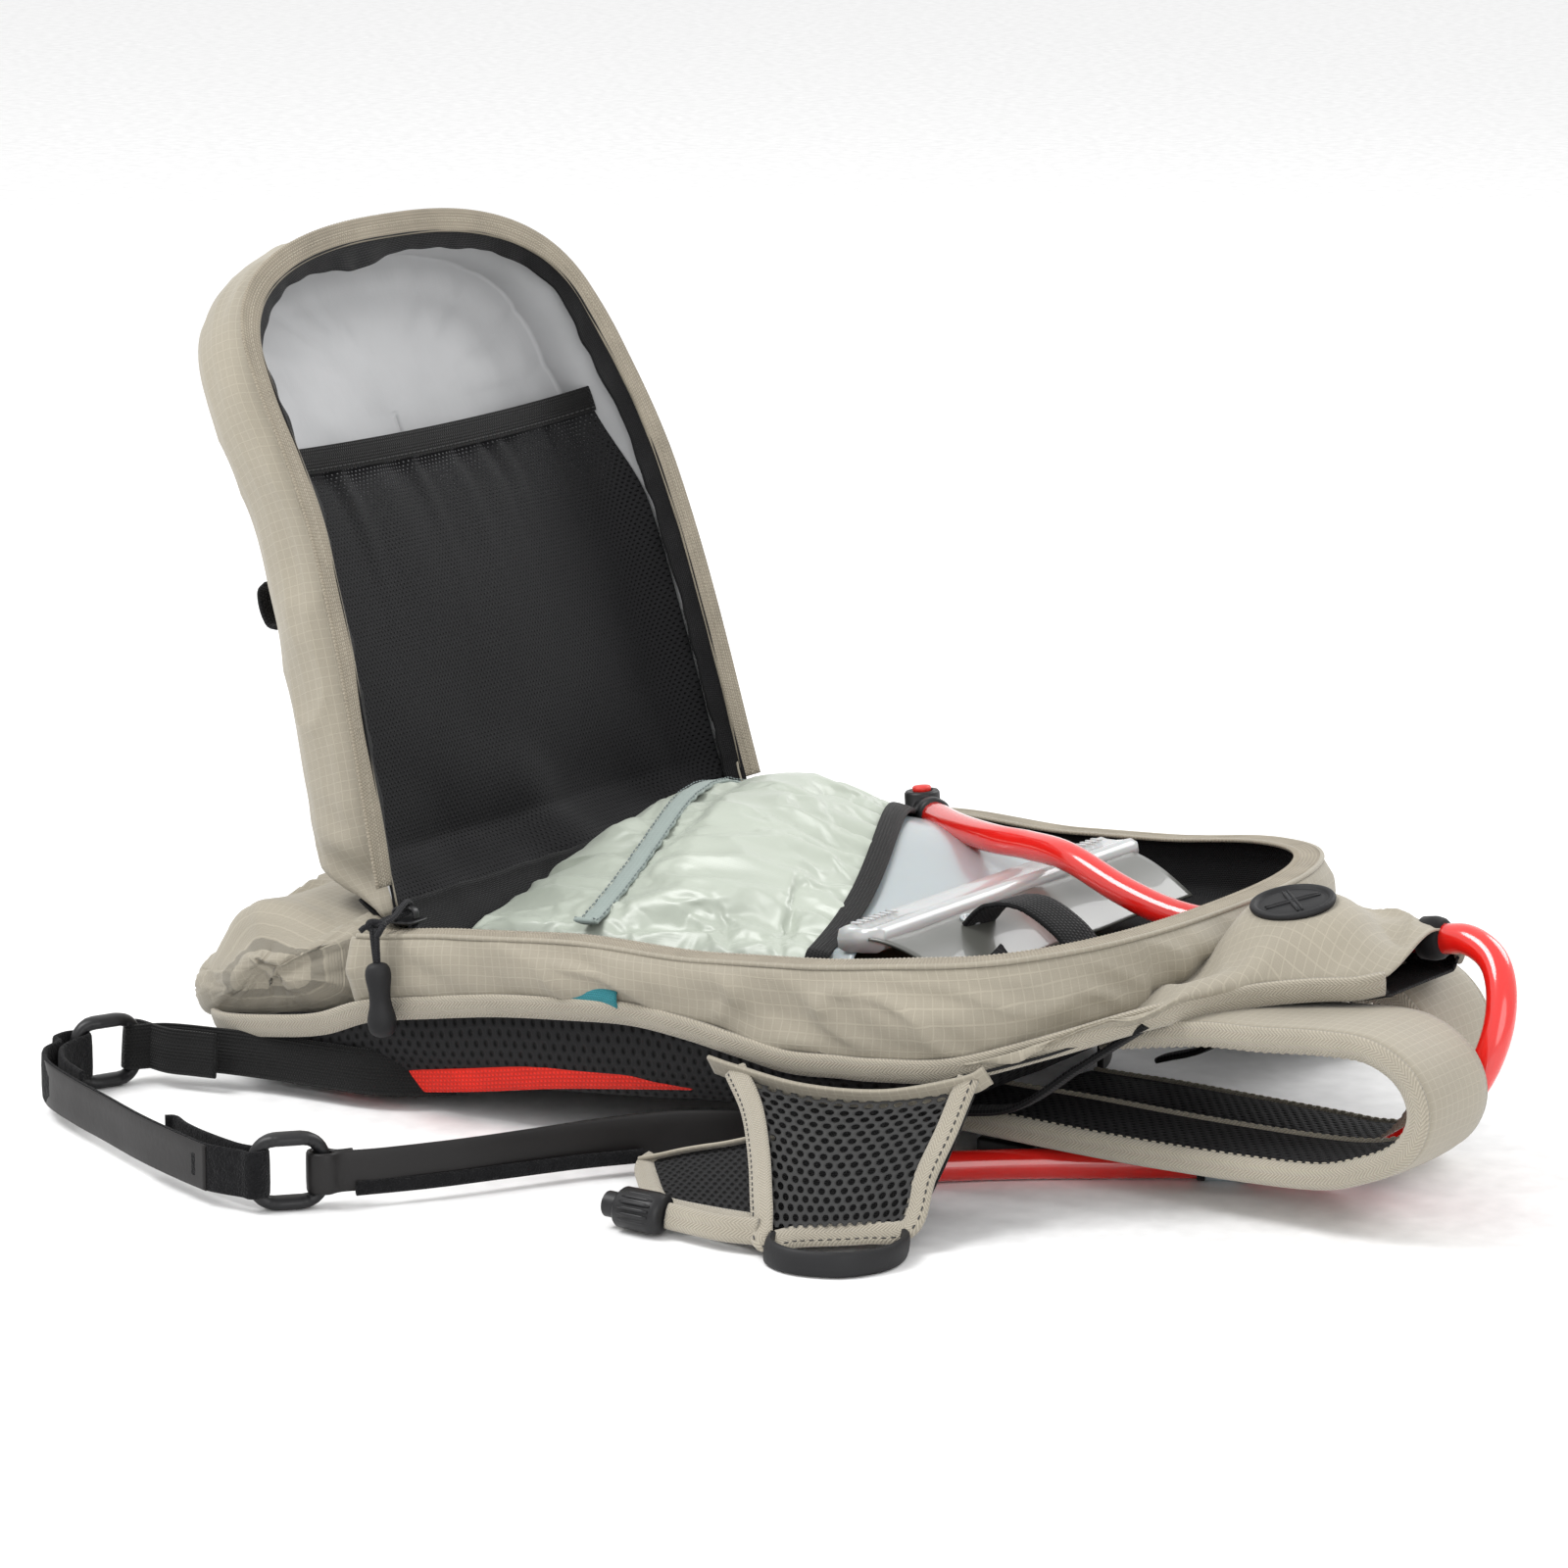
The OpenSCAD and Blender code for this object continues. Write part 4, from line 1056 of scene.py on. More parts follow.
lathe(
    "neck_hose_gland", [(-6, 6.6), (-2, 6.9), (0.4, 6.4), (1.4, 5.6)], (NECK_END + 0.5, BORE_Y, BORE_Z),
    (1, 0, 0), PACK, "tape_black", sides=28)

# ------------------------------------------------------------------ zips
TEETH_PITCH = 1.5
TOOTH_LENGTH, TOOTH_RADIUS = 2.5, 0.52


def coil(name, off, lift, place, swap, body, s0):
    """Zip teeth along the rim: each a short rod across the tape."""
    line = Path([rim_at(i / 700, off, s0) for i in range(701)])
    n = int(line.length / TEETH_PITCH)
    items = []
    for i in range(n):
        t = (i + 0.5) / n
        p, d = line.at(t), line.along(t)
        out = Vector((d.y, -d.x, 0))
        middle = swap(p + Vector((0, 0, lift(p.x) + 0.75)))
        items.append((middle, swap(out) - swap(Vector()), TOOTH_LENGTH, TOOTH_RADIUS))
    return beads(name, items, place, "teeth", body=body)


def same(p):
    return p


def stood_up(p):
    """From the opening's plane (s, y, depth) to the panel's frame (depth inward, y, s)."""
    return Vector((-p.z, p.y, p.x))


LID_BEND, LID_CURL = 7.0, 9.0


def bend(s):
    """How far the open panel's rim bows forward, then curls back, at distance s from the hinge."""
    return LID_BEND * arch(clamp(s / LENGTH)) ** 1.4 - LID_CURL * smooth(s, 130, LENGTH)


def body_tape(u, v):
    p = rim_at(u, lerp(1.2, 9.6, v), 2.0)
    wave = 0.5 * ripple(u * 640, v * 3, 1, 22)
    return (p.x, p.y, rim_lift(p.x) + wave * v + 0.1 - 0.35 * v)


surface("body_zip_tape", body_tape, 320, 6, PACK, "zip_tape", thick=0.9, replaces="zip_body")
coil("body_zip_teeth", 2.2, rim_lift, PACK, same, "pack", 2.0)
welt_line = Path([rim_at(i / 400, 9.9, -2.0) + Vector((0, 0, rim_lift(rim_at(i / 400, 9.9, -2.0).x) + 0.1))
                  for i in range(401)])
tube("body_zip_welt", welt_line, 0.85, PACK, "tan", steps=420, sides=8)
for k, off in enumerate((4.6, 5.5)):
    row = Path([Vector((*rim_at(i / 400, off, 2.0)[:2], rim_lift(rim_at(i / 400, off, 2.0).x) + 0.02))
                for i in range(401)])
    stitches(
        "body_tape_stitch_%d" % k, row, PACK, lambda t: (0, 0, 0.06), "thread", slot="zip_tan", pitch=1.7,
        length=1.1, r=0.17)


def lid_tape(u, v):
    p = rim_at(u, lerp(-1.0, -9.6, v), 14.0)
    n = bend(p.x) + 0.1 + 1.2 * v ** 2 * ripple(u * 620, 0, 3, 40)
    return (n - 1.0 * v, p.y, p.x)


surface("panel_zip_tape", lid_tape, 320, 6, LID, "zip_tape", body="lid", thick=0.9, replaces="zip_lid")
coil("panel_zip_teeth", -2.1, lambda x: -bend(x) - 1.1, LID, stood_up, "lid", 19.0)
for k, off in enumerate((-4.6, -5.4)):
    row = Path([Vector((bend(rim_at(i / 400, off, 14.0).x) + 0.55, rim_at(i / 400, off, 14.0).y,
                        rim_at(i / 400, off, 14.0).x)) for i in range(401)])
    stitches(
        "panel_tape_stitch_%d" % k, row, LID, lambda t: (0, 0, 0), "thread", slot="zip_tan", pitch=1.7,
        length=1.1, r=0.17, body="lid")

# ------------------------------------------------------------------ front panel
SHELL = [(0.0, -6.6, -0.6), (0.05, -5.0, -2.6), (0.14, -3.2, -9.0), (0.24, -3.4, -17.0),
         (0.33, -5.6, -24.5),
         (0.40, -9.5, -29.5), (0.47, -15.0, -31.6)]


def shell_rows(v, column):
    return table(v, [(r[0], r[column]) for r in SHELL])


def panel_bend(s):
    return bend(s) * 0.9


def shell(u, v):
    """Outside of the panel: the gusset from the zip, round the corner and across the back."""
    edge = rim_at(u, -9.0, 4.0)
    depth = 0.30 + 0.70 * smooth(edge.x, 2, 26)
    if v <= 0.47:
        off, n = shell_rows(v, 1) - 4.0 * (1 - smooth(edge.x, 16, 34)), shell_rows(v, 2) * depth
        p = rim_at(u, off, 4.0)
        q = Vector((p.x, p.y, 0))
    else:
        k = (v - 0.47) / 0.53
        p = rim_at(u, -15.0, 4.0)
        mid = Vector((min(p.x, 175), 0, 0))
        q = p.lerp(mid, k)
        n = -31.6 * depth - 3.5 * arch(0.5 * k) * depth
    fold = 1.6 * ripple(q.x, q.y * 0.8, n, 34) + 0.9 * ripple(q.x * 0.6, q.y, n * 2 + 30, 15)
    fold += 1.8 * (1 - smooth(q.x, 0, 60)) * sin(q.x * 0.35 + n * 0.25)
    fold += 1.1 * creased(q.x * 0.8, q.y * 0.8, n * 1.4 + 50, 32)
    fold *= smooth(v, 0.02, 0.18)
    out = (q - Vector((min(q.x, 175), 0, 0)))
    out = out.normalized() if out.length > 1e-6 else Vector()
    k = 1 - smooth(v, 0.3, 0.5)
    return (n + panel_bend(q.x) - fold * (1 - k) * 0.8, q.y + out.y * fold * k, q.x + out.x * fold * k)


surface("front_panel_shell", shell, 300, 56, LID, "tan", body="lid", thick=0.7, replaces="lid_shell")


def panel_foot(u, v):
    """Closes the panel's lower end down to the hinge."""
    y = lerp(-HALF0 + 10, HALF0 - 10, u)
    s = lerp(2.5, 12.0, v ** 1.4)
    n = lerp(1.5, -14.5, v) + 1.0 * ripple(y, v * 20, 12, 20)
    return (n, y, s - 2.5 * arch(v))


surface("front_panel_foot", panel_foot, 90, 10, LID, "tape_black", body="lid", thick=0.8)


def lining(u, v):
    """Grey inside of the panel, with soft hollows and creases toward its corners."""
    edge = rim_at(u, -10.0, 6.0)
    depth = 0.3 + 0.7 * smooth(edge.x, 4, 28)
    if v <= 0.3:
        k = v / 0.3
        p = rim_at(u, lerp(-8.6, -11.0, arch(0.5 * k)) - 1.2 * arch(k), 6.0)
        q = Vector((p.x, p.y, 0))
        n = lerp(-1.2, -27.0, k) * depth
    else:
        k = (v - 0.3) / 0.7
        p = rim_at(u, -11.0 - 5 * smooth(k, 0, 0.1), 6.0)
        q = p.lerp(Vector((min(p.x, 175), 0, 0)), k)
        n = (-27.0 - 2.2 * smooth(k, 0, 0.2)) * depth
    s = u * 600
    soft = 3.2 * ripple(q.x * 0.8, q.y * 0.8, 60, 48) + 1.4 * ripple(q.x * 0.9 + q.y * 0.6, q.y, 70, 20)
    crease = 1.7 * (1 - abs(ripple(s * 0.9, n * 0.35, 80, 26))) ** 5
    fade = smooth(v, 0.03, 0.2)
    crease *= 1 - smooth(v, 0.45, 0.7)
    return (n + panel_bend(q.x) + (soft * 0.9 - crease) * fade, q.y * (1 - 0.012 * soft * fade), q.x)


surface("panel_grey_lining", lining, 220, 48, LID, "lining", body="lid", thick=0.5, replaces="lid_lining")


def seam_tape(u, v):
    """Black taped seam inside the zip; its free edge wanders."""
    s = u * 620
    width = 6.0 + 1.8 * ripple(s, 0, 90, 24) + 1.2 * ripple(s, 0, 95, 11)
    width += 3.0 * exp(-((u - 0.47) / 0.03) ** 2)
    p = rim_at(u, -8.4 - width * v, 6.0)
    n = bend(p.x) - 0.3 - 4.2 * v ** 0.8 + 0.9 * ripple(s * 1.5, v * 14, 99, 13) * v
    return (n, p.y, p.x)


surface(
    "panel_seam_tape", seam_tape, 420, 8, LID, "tape_black", body="lid", thick=0.8,
    replaces="lid_binding")

# ------------------------------------------------------------------ mesh pocket
POCKET_TOP, POCKET_LOW = 163.0, 5.0


def pocket(u, v):
    """Slack mesh, gathered under its band and full in the middle."""
    s = lerp(POCKET_LOW, POCKET_TOP, v)
    half = half_at(s) - 12.4
    x = 2 * u - 1
    y = half * x
    depth = 0.3 + 0.7 * smooth(s, 4, 26)
    belly = (1 - abs(x) ** 3.2) * (4.5 + 6.0 * arch(clamp(s / 170)) ** 0.8)
    sewn = abs(x) ** 7 * (1 - 0.45 * smooth(s, 120, POCKET_TOP))
    n = lerp(-25.0 * depth + belly, -6.5 * depth, sewn)
    n += 2.4 * ripple(y * 0.9, s * 0.6, 110, 36) * (1 - abs(x) ** 6)
    drape = (1 - smooth(s, 10, 62)) * (1 - abs(x) ** 4)
    n += 3.4 * drape * sin(y / 13.0 + s / 22.0 + 2 * ripple(y, s, 5, 40))
    near_band = exp(-(POCKET_TOP - s) / 20.0)
    n += 1.5 * near_band * sin(y / 2.7 + 3.5 * ripple(y, 0, 120, 18)) * (1 - abs(x) ** 8)
    n -= belly * 0.55 * near_band
    sag = 2.5 * (1 - x * x) * smooth(v, 0.8, 1.0)
    return (n + panel_bend(s), y, s - sag)


pocket_piece = surface(
    "panel_mesh_pocket", pocket, 260, 150, LID, "pocket", body="lid", cloth=lambda u,
    v: ((2 * u - 1) * 95, lerp(POCKET_LOW, POCKET_TOP, v)), replaces="mesh_pocket")


def band_line():
    pts = []
    for i in range(41):
        x = 2 * i / 40 - 1
        s = POCKET_TOP + 1.5 - 2.5 * (1 - x * x)
        n = lerp(-25.0 + (1 - abs(x) ** 3.2) * 5.6, -6.5, abs(x) ** 7 * 0.55) + 1.4
        pts.append((n + panel_bend(s), (half_at(s) - 12.6) * x, s))
    return Path(pts)


band = strip(
    "pocket_elastic_band", band_line(), (0.0, 0, 1), 9.5, 1.6, LID, "elastic", steps=90, body="lid",
    crown=0.2, replaces="pocket_elastic")
stitches(
    "pocket_band_stitch", band_line(), LID, lambda t: (0.9, 0, -3.4), "thread_dark", pitch=2.2,
    length=1.4, r=0.25, body="lid")
strip(
    "light_loop", [(-34.5 + 5, -78, 126), (-38 + 5, -78, 124), (-39.2 + 5, -78, 118),
    (-38.2 + 5, -78, 112), (-35 + 5, -78, 110)], (0, 1, 0), 13.0, 1.5, LID, "black_web", body="lid",
    steps=24, replaces="light_tab")

# ------------------------------------------------------------------ reservoir and its sleeve
MOUTH_NEAR, MOUTH_FAR = BAG_END - 1, BAG_END - 75
SLEEVE_HALF = BAG_HALF + 4.0
SLEEVE_BACK = 7.0


def mouth(y):
    """Where the sleeve ends at width y: it crosses the pack aslant in a slack curve."""
    k = (y + SLEEVE_HALF) / (2 * SLEEVE_HALF)
    return lerp(MOUTH_NEAR, MOUTH_FAR, k) + 9.0 * arch(k) * (1 - k * 0.4)


def swell(x, y):
    """Height of the filled sleeve over the zip's plane."""
    k = clamp((y + SLEEVE_HALF) / (2 * SLEEVE_HALF))
    dome = arch(clamp(0.03 + 0.94 * k)) ** 0.62
    tall = lerp(11.0, 27.0, smooth(k, 0.0, 0.75))
    back = smooth(x, SLEEVE_BACK - 8, SLEEVE_BACK + 30) ** 0.6
    front = 1 - 0.75 * smooth(x, 66, 168)
    return -9.5 + dome * (tall + 9.5) * back * front


def ruche(x, y):
    """Gathers: fine at the elastic mouth and the drawn channel, long and slack between them."""
    to_mouth = mouth(y) - x
    near = exp(-max(to_mouth, 0) / 22.0)
    k = (y + SLEEVE_HALF) / (2 * SLEEVE_HALF)
    to_channel = x - lerp(BAG_END - 88, BAG_END - 124, k)
    wide = exp(-(to_channel / 20.0) ** 2)
    warp = 7 * ripple(x * 0.5, y * 0.7, 140, 30)
    fine = sin((y + warp) / 1.75) * near * 1.5
    mid = sin((y + 0.12 * x + 1.6 * warp) / 3.4) * wide * 0.75
    slack = 3.6 * (1 - abs(ripple(x * 0.34, y * 1.15, 150, 15))) ** 3 - 1.6
    slack += 2.0 * ripple(x * 0.5, y * 1.3, 160, 26)
    corner = Vector((x - MOUTH_NEAR - 6, y + SLEEVE_HALF + 22))
    sweep = atan2(corner.y, -corner.x) * 9.5 + 0.9 * ripple(x, y, 165, 34)
    pulled = exp(-((corner.length - 58) / 34) ** 2) * 2.7 * (abs(sin(sweep)) ** 0.7 - 0.5)
    return fine + mid + slack * (1 - 0.6 * near) * (1 - 0.5 * wide) + pulled * (1 - 0.5 * near)


def sleeve(u, v):
    y = lerp(-SLEEVE_HALF, SLEEVE_HALF, u)
    x = lerp(SLEEVE_BACK - 2, mouth(y), v)
    side = smooth(min(u, 1 - u), 0, 0.04)
    z = swell(x, y) * side + (1 - side) * -17.5
    lip = smooth(x, SLEEVE_BACK - 2, SLEEVE_BACK + 7)
    z = lerp(-17.5, z, lip)
    return (x, y * (1 - 0.02 * (1 - side)), z + ruche(x, y) * side * lip)


def channel_x(y):
    k = (y + SLEEVE_HALF) / (2 * SLEEVE_HALF)
    return lerp(BAG_END - 88, BAG_END - 124, k)


def sleeve_held(i, p):
    """The sleeve is held at its edges, its elastic mouth and its drawn channel."""
    q = PACK.inverted() @ p
    return (abs(q.y) > SLEEVE_HALF - 5 or q.x < SLEEVE_BACK + 5 or mouth(q.y) - q.x < 3.5
            or abs(q.x - channel_x(q.y)) < 3.5)


sleeve_piece = surface("reservoir_sleeve_cloth", sleeve, 170, 76, PACK, "sleeve")
billow(sleeve_piece, 2.5, 5.0, sleeve_held, grow=0.055, bend=0.15)
finish_mesh(sleeve_piece, sub=1, thick=0.4)
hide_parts("reservoir_sleeve")

mouth_pts = []
for i in range(61):
    y = lerp(-SLEEVE_HALF + 0.5, SLEEVE_HALF - 0.5, i / 60)
    x = mouth(y) + 2.0
    end = smooth(min(i, 60 - i) / 60, 0, 0.05)
    mouth_pts.append((x, y, lerp(-15, swell(x, y) + 1.2, end)))
mouth_line = Path(mouth_pts)


def mouth_across(t):
    p = mouth_line.at(t)
    slope = (swell(p.x + 4, p.y) - swell(p.x - 4, p.y)) / 8
    return Vector((1, 0.35, slope - 0.15))


elastic_band = strip(
    "sleeve_mouth_elastic", mouth_line, mouth_across, 7.6, 1.7, PACK, "elastic", steps=150, crown=0.2,
    replaces="sleeve_elastic")

channel_pts = []
for i in range(61):
    k = i / 60
    y = lerp(-SLEEVE_HALF + 3, SLEEVE_HALF - 4, k)
    x = lerp(BAG_END - 88, BAG_END - 124, k) + 2.0 * sin(7 * k)
    z = swell(x, y) * smooth(min(k, 1 - k), 0, 0.03) + 1.4 + 0.5 * ripple(y, 0, 7, 6)
    channel_pts.append((x, y, z))
channel_line = Path(channel_pts)


def channel_across(t):
    p = channel_line.at(t)
    slope = (swell(p.x + 4, p.y) - swell(p.x - 4, p.y)) / 8
    return Vector((1, 0, slope))


channel = strip(
    "sleeve_drawn_channel", channel_line, channel_across, 7.4, 1.3, PACK, "sleeve_mesh", steps=160,
    crown=0.3, widths=lambda t: 1 + 0.10 * sin(150 * t), replaces="sleeve_channel")
for k in (-1, 1):
    stitches(
        "channel_stitch_%s" % ("a" if k < 0 else "b"), channel_line, PACK,
        lambda t: channel_across(t).normalized() * (3.6 * k) + UP, "thread_grey", pitch=2.4, length=1.5,
        r=0.26)


def bag(u, v):
    """The milky bag beyond the sleeve: domed behind, pinched flat toward the slide bar."""
    y = lerp(-BAG_HALF, BAG_HALF, u)
    x = lerp(SLEEVE_BACK + 8, SEAL_X - 2, v)
    side = smooth(min(u, 1 - u), 0, 0.07) ** 0.7
    z = swell(min(x, mouth(y)), y) - lerp(8.5, 2.6, smooth(x, mouth(y) - 16, mouth(y) - 2))
    z = lerp(z, -3.2, smooth(x, mouth(y) - 6, SEAL_X - 2) ** 1.2)
    z += 0.5 * ripple(x, y, 170, 34) + 0.5 * smooth(x, 120, 160) * sin(y / 9.0)
    return (x, y, lerp(-16.5, z, side))


surface("water_bag", bag, 110, 90, PACK, "film", thick=0.7, replaces="reservoir")


def bag_fold(u, v):
    """The bag's top, folded over the bar and hanging down toward the neck."""
    y = lerp(-BAG_HALF + 5, BAG_HALF - 9, u)
    x = lerp(SEAL_X + 5, SEAL_X + 33, v)
    z = lerp(-0.5, -13.5, v ** 1.3) + 1.2 * arch(v) + 0.5 * ripple(x, y, 180, 22)
    return (x, y * (1 - 0.05 * v), z)


# The folded top's film is painted dark as shade.
surface("bag_folded_top", bag_fold, 60, 24, PACK, "film_painted_shade", thick=0.9)

bar_pts = [(SEAL_X + 1, -74.5, -0.6), (SEAL_X + 1, 74.5, -0.6)]
BAR_SHAPE = [(-8.5, -3.0), (-8.7, 0.0), (-7.8, 3.0), (-5.5, 4.1), (-3.2, 3.5), (0.6, 3.3), (3.4, 3.6),
             (6.2, 4.2),
             (8.6, 3.0), (9.0, 0.2), (8.4, -2.6), (6.0, -3.9), (0, -4.2), (-6, -4.2)]
strip(
    "seal_slide_bar", Path(bar_pts), (1, 0, 0), 18, 8, PACK, "film_edge", steps=90, body="seal",
    shape=[(x, y) for x, y in reversed(BAR_SHAPE)], replaces="seal_slide")
ribs = [((SEAL_X - 3.0, y, 3.6), (1, 0, 0), 4.6, 0.5) for y in [-70 + 3.2 * k for k in range(7)]]
ribs += [((SEAL_X - 3.0, y, 3.6), (1, 0, 0), 4.6, 0.5) for y in [50 + 3.2 * k for k in range(7)]]
beads("seal_bar_grips", ribs, PACK, "film_edge", body="seal")
lathe(
    "bag_hanging_eyelet", [(0, 3.4), (0.7, 3.5), (1.0, 3.0), (1.0, 2.2), (0.3, 2.0)],
    (SEAL_X + 15, -34, -1.8), (0.35, 0, 1), PACK, "film_edge")
marks = []
for k in range(16):
    y = -20 + 2.6 * k
    z = bag((y + BAG_HALF) / (2 * BAG_HALF), 0.93)[2] + 1.1
    marks.append(((mouth(-20) + 28 + 0.25 * k, y, z), (0.25, 1, 0), 0.8, 0.22))
beads("bag_level_marks", marks, PACK, "print_and_shade", slot="film_clear")

strip(
    "hanger_webbing", [(SEAL_X + 16, -33, -3.5), (SEAL_X + 24, -31, 3.2), (SEAL_X + 35, -28, 3.4),
    (SEAL_X + 47, -27, -4), (SEAL_X + 56, -28, -13), (SEAL_X + 66, -30, -17)], (0.2, 1, 0), 15.0, 1.7,
    PACK, "black_web", crown=0.2, replaces="hanger_strap")
strip(
    "hanger_hook_tape", [(SEAL_X + 17, -36, -5.4), (SEAL_X + 30, -46, -11), (SEAL_X + 45, -49, -16.6),
    (SEAL_X + 60, -46, -18.2)], (0.2, 1, 0), 15.0, 1.9, PACK, "fuzz")

# ------------------------------------------------------------------ port on the bag
PORT_BASE = (PORT.x, PORT.y, 3.0)
port_body = lathe(
    "port_cap", [(0.3, 7.4), (0.8, 8.0), (2.6, 8.0), (3.3, 7.3), (3.6, 6.1), (12.1, 6.0), (12.9, 5.4),
    (12.9, 3.9), (11.1, 3.7), (10.9, 0.1)], PORT_BASE, (0, 0, 1), PACK, "plastic", sides=48)
elbow = lathe(
    "port_elbow", [(4.4, 4.9), (4.8, 5.4), (8, 5.4), (9, 5.9), (13.2, 5.9), (14, 5.2)], PORT, HOSE_WAY,
    PACK, "plastic")
port_piece = join("port_cap", [port_body, elbow])
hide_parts("reservoir_port")
key = lathe(
    "port_release_key", [(12.7, 2.9), (12.8, 3.15), (14.0, 3.15), (14.4, 2.8), (14.5, 0.1)], PORT_BASE,
    (0, 0, 1), PACK, "silicone", body="port_key", replaces="port_button")
coat("valve_lever", "silicone")

# ------------------------------------------------------------------ slider and pull
ZIP_AT = Vector((10, -half_at(10), 0))
SIDE_ANGLE = atan2(HALF0 - HALF1, STRAIGHT)
SLIDER = PACK @ Matrix.Translation(ZIP_AT) @ Matrix.Rotation(SIDE_ANGLE, 4, "Z")


def stack(name, ring, levels, place, mat, middle=(0, 0), **kw):
    """One outline at several heights, drawn in toward its middle: levels are (height, x share, y share)."""
    mx, my = middle
    verts = [place @ Vector((mx + (x - mx) * kx, my + (y - my) * ky, z))
             for z, kx, ky in levels for x, y in ring]
    return piece(name, verts, ring_faces(len(levels), len(ring), turned=True), mat, **kw)


def plate(z0, z1, tag):
    """One wing of the slider: wide at the shoulders and narrow at the tail, with rolled edges."""
    outline = [(-6, 3.6), (-5, 4.4), (0, 4.6), (3.4, 5.4), (5.4, 4.8), (6, 3.0)]
    ring = outline + [(x, -y) for x, y in reversed(outline)]
    levels = [(z0, 0.90, 0.90), (lerp(z0, z1, 0.3), 1, 1), (lerp(z0, z1, 0.75), 1, 1), (z1, 0.88, 0.88)]
    return stack("slider_" + tag, ring, levels, SLIDER, "plastic", body="slider", sub=2)


slider_parts = [plate(-4.4, -3.0, "under"), plate(3.0, 4.4, "over")]
bridge = strip(
    "slider_bridge", [(-4.2, 0, 4.3), (-3.8, 0, 7.0), (-1.5, 0, 8.0), (1.5, 0, 8.0), (3.8, 0, 7.0),
    (4.2, 0, 4.3)], (0, 1, 0), 3.0, 1.1, SLIDER, "plastic", steps=24, body="slider")
post = lathe(
    "slider_post", [(-3.2, 1.2), (3.2, 1.2)], (3.4, 0, 0), (0, 0, 1), SLIDER, "plastic", sides=14,
    body="slider", squeeze=0.5)
slider_piece = join("zip_slider_body", slider_parts + [bridge, post])
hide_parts("zip_slider")

loop_pts = [(-0.9, -16.8, 4.8), (-2.0, -12.0, 5.2), (-2.1, -6.5, 5.5), (-1.3, -2.6, 5.7), (-0.7, 0.0, 5.8),
            (-0.1, 2.6, 6.6), (0.3, 2.7, 8.6), (0.8, 0.0, 9.7), (1.5, -4.0, 8.8), (2.2, -9.0, 7.0),
            (2.0, -13.0, 5.9), (0.9, -16.8, 5.0)]
cord_a = tube("pull_loop", loop_pts, 0.95, SLIDER, "cord", steps=80, sides=10, body="pull")
knot_pts = [(2.5 * cos(a), -16.2 + 1.5 * sin(2 * a), 4.6 + 1.9 * sin(a) + 0.4 * cos(3 * a))
            for a in [2 * pi * k / 14 for k in range(15)]]
knot = tube("pull_knot", knot_pts, 1.0, SLIDER, "cord", steps=90, sides=10, body="pull")
tails = [tube("pull_tail_%d" % k, pts, 0.95, SLIDER, "cord", steps=16, sides=10, body="pull")
         for k, pts in enumerate((
             [(-1.2, -16.4, 5.0), (-3.0, -18.0, 5.0), (-4.0, -19.6, 4.0)],
             [(0.8, -17.2, 4.6), (0.6, -17.4, 0.0), (0.2, -17.4, -8.0)],
             [(-1.0, -17.2, 4.6), (-0.8, -17.4, 0.0), (-0.4, -17.4, -8.0)]))]
pull_piece = join("zip_pull_cord", [cord_a, knot] + tails)
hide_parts("pull_cord")
lathe(
    "zip_pull_toggle", [(-30.0, 0.1), (-29.6, 2.6), (-28.2, 4.2), (-25.6, 4.9), (-22.8, 4.6),
    (-20.0, 3.7), (-17.0, 3.3), (-13.5, 3.7), (-10.5, 4.3), (-8.0, 4.2), (-6.2, 3.3), (-5.6, 1.8),
    (-5.5, 0.1)], (0, -17.4, -0.9), (0, 0, 1), SLIDER, "rubber", body="pull", squeeze=0.8, sub=1,
    replaces="pull_toggle")

# ------------------------------------------------------------------ shoulder straps
UNDER_YOKE, OVER_HOSE, FLAT = 58.2, 16.0, 4.0
NEAR_PATH = [(128, 50), (148, 54), (166, 57), (184, UNDER_YOKE), (206, UNDER_YOKE + 2.2),
             (222, UNDER_YOKE + 2), (234, 54), (239, 43), (234, 31), (220, 23),
             (200, OVER_HOSE + 2), (150, OVER_HOSE), (100, OVER_HOSE), (62, OVER_HOSE)]
FAR_PATH = [(178, UNDER_YOKE), (190, UNDER_YOKE + 0.6), (199, 53), (204, 44), (205, 32), (200, 19),
            (189, 8), (173, FLAT), (150, FLAT), (64, FLAT)]


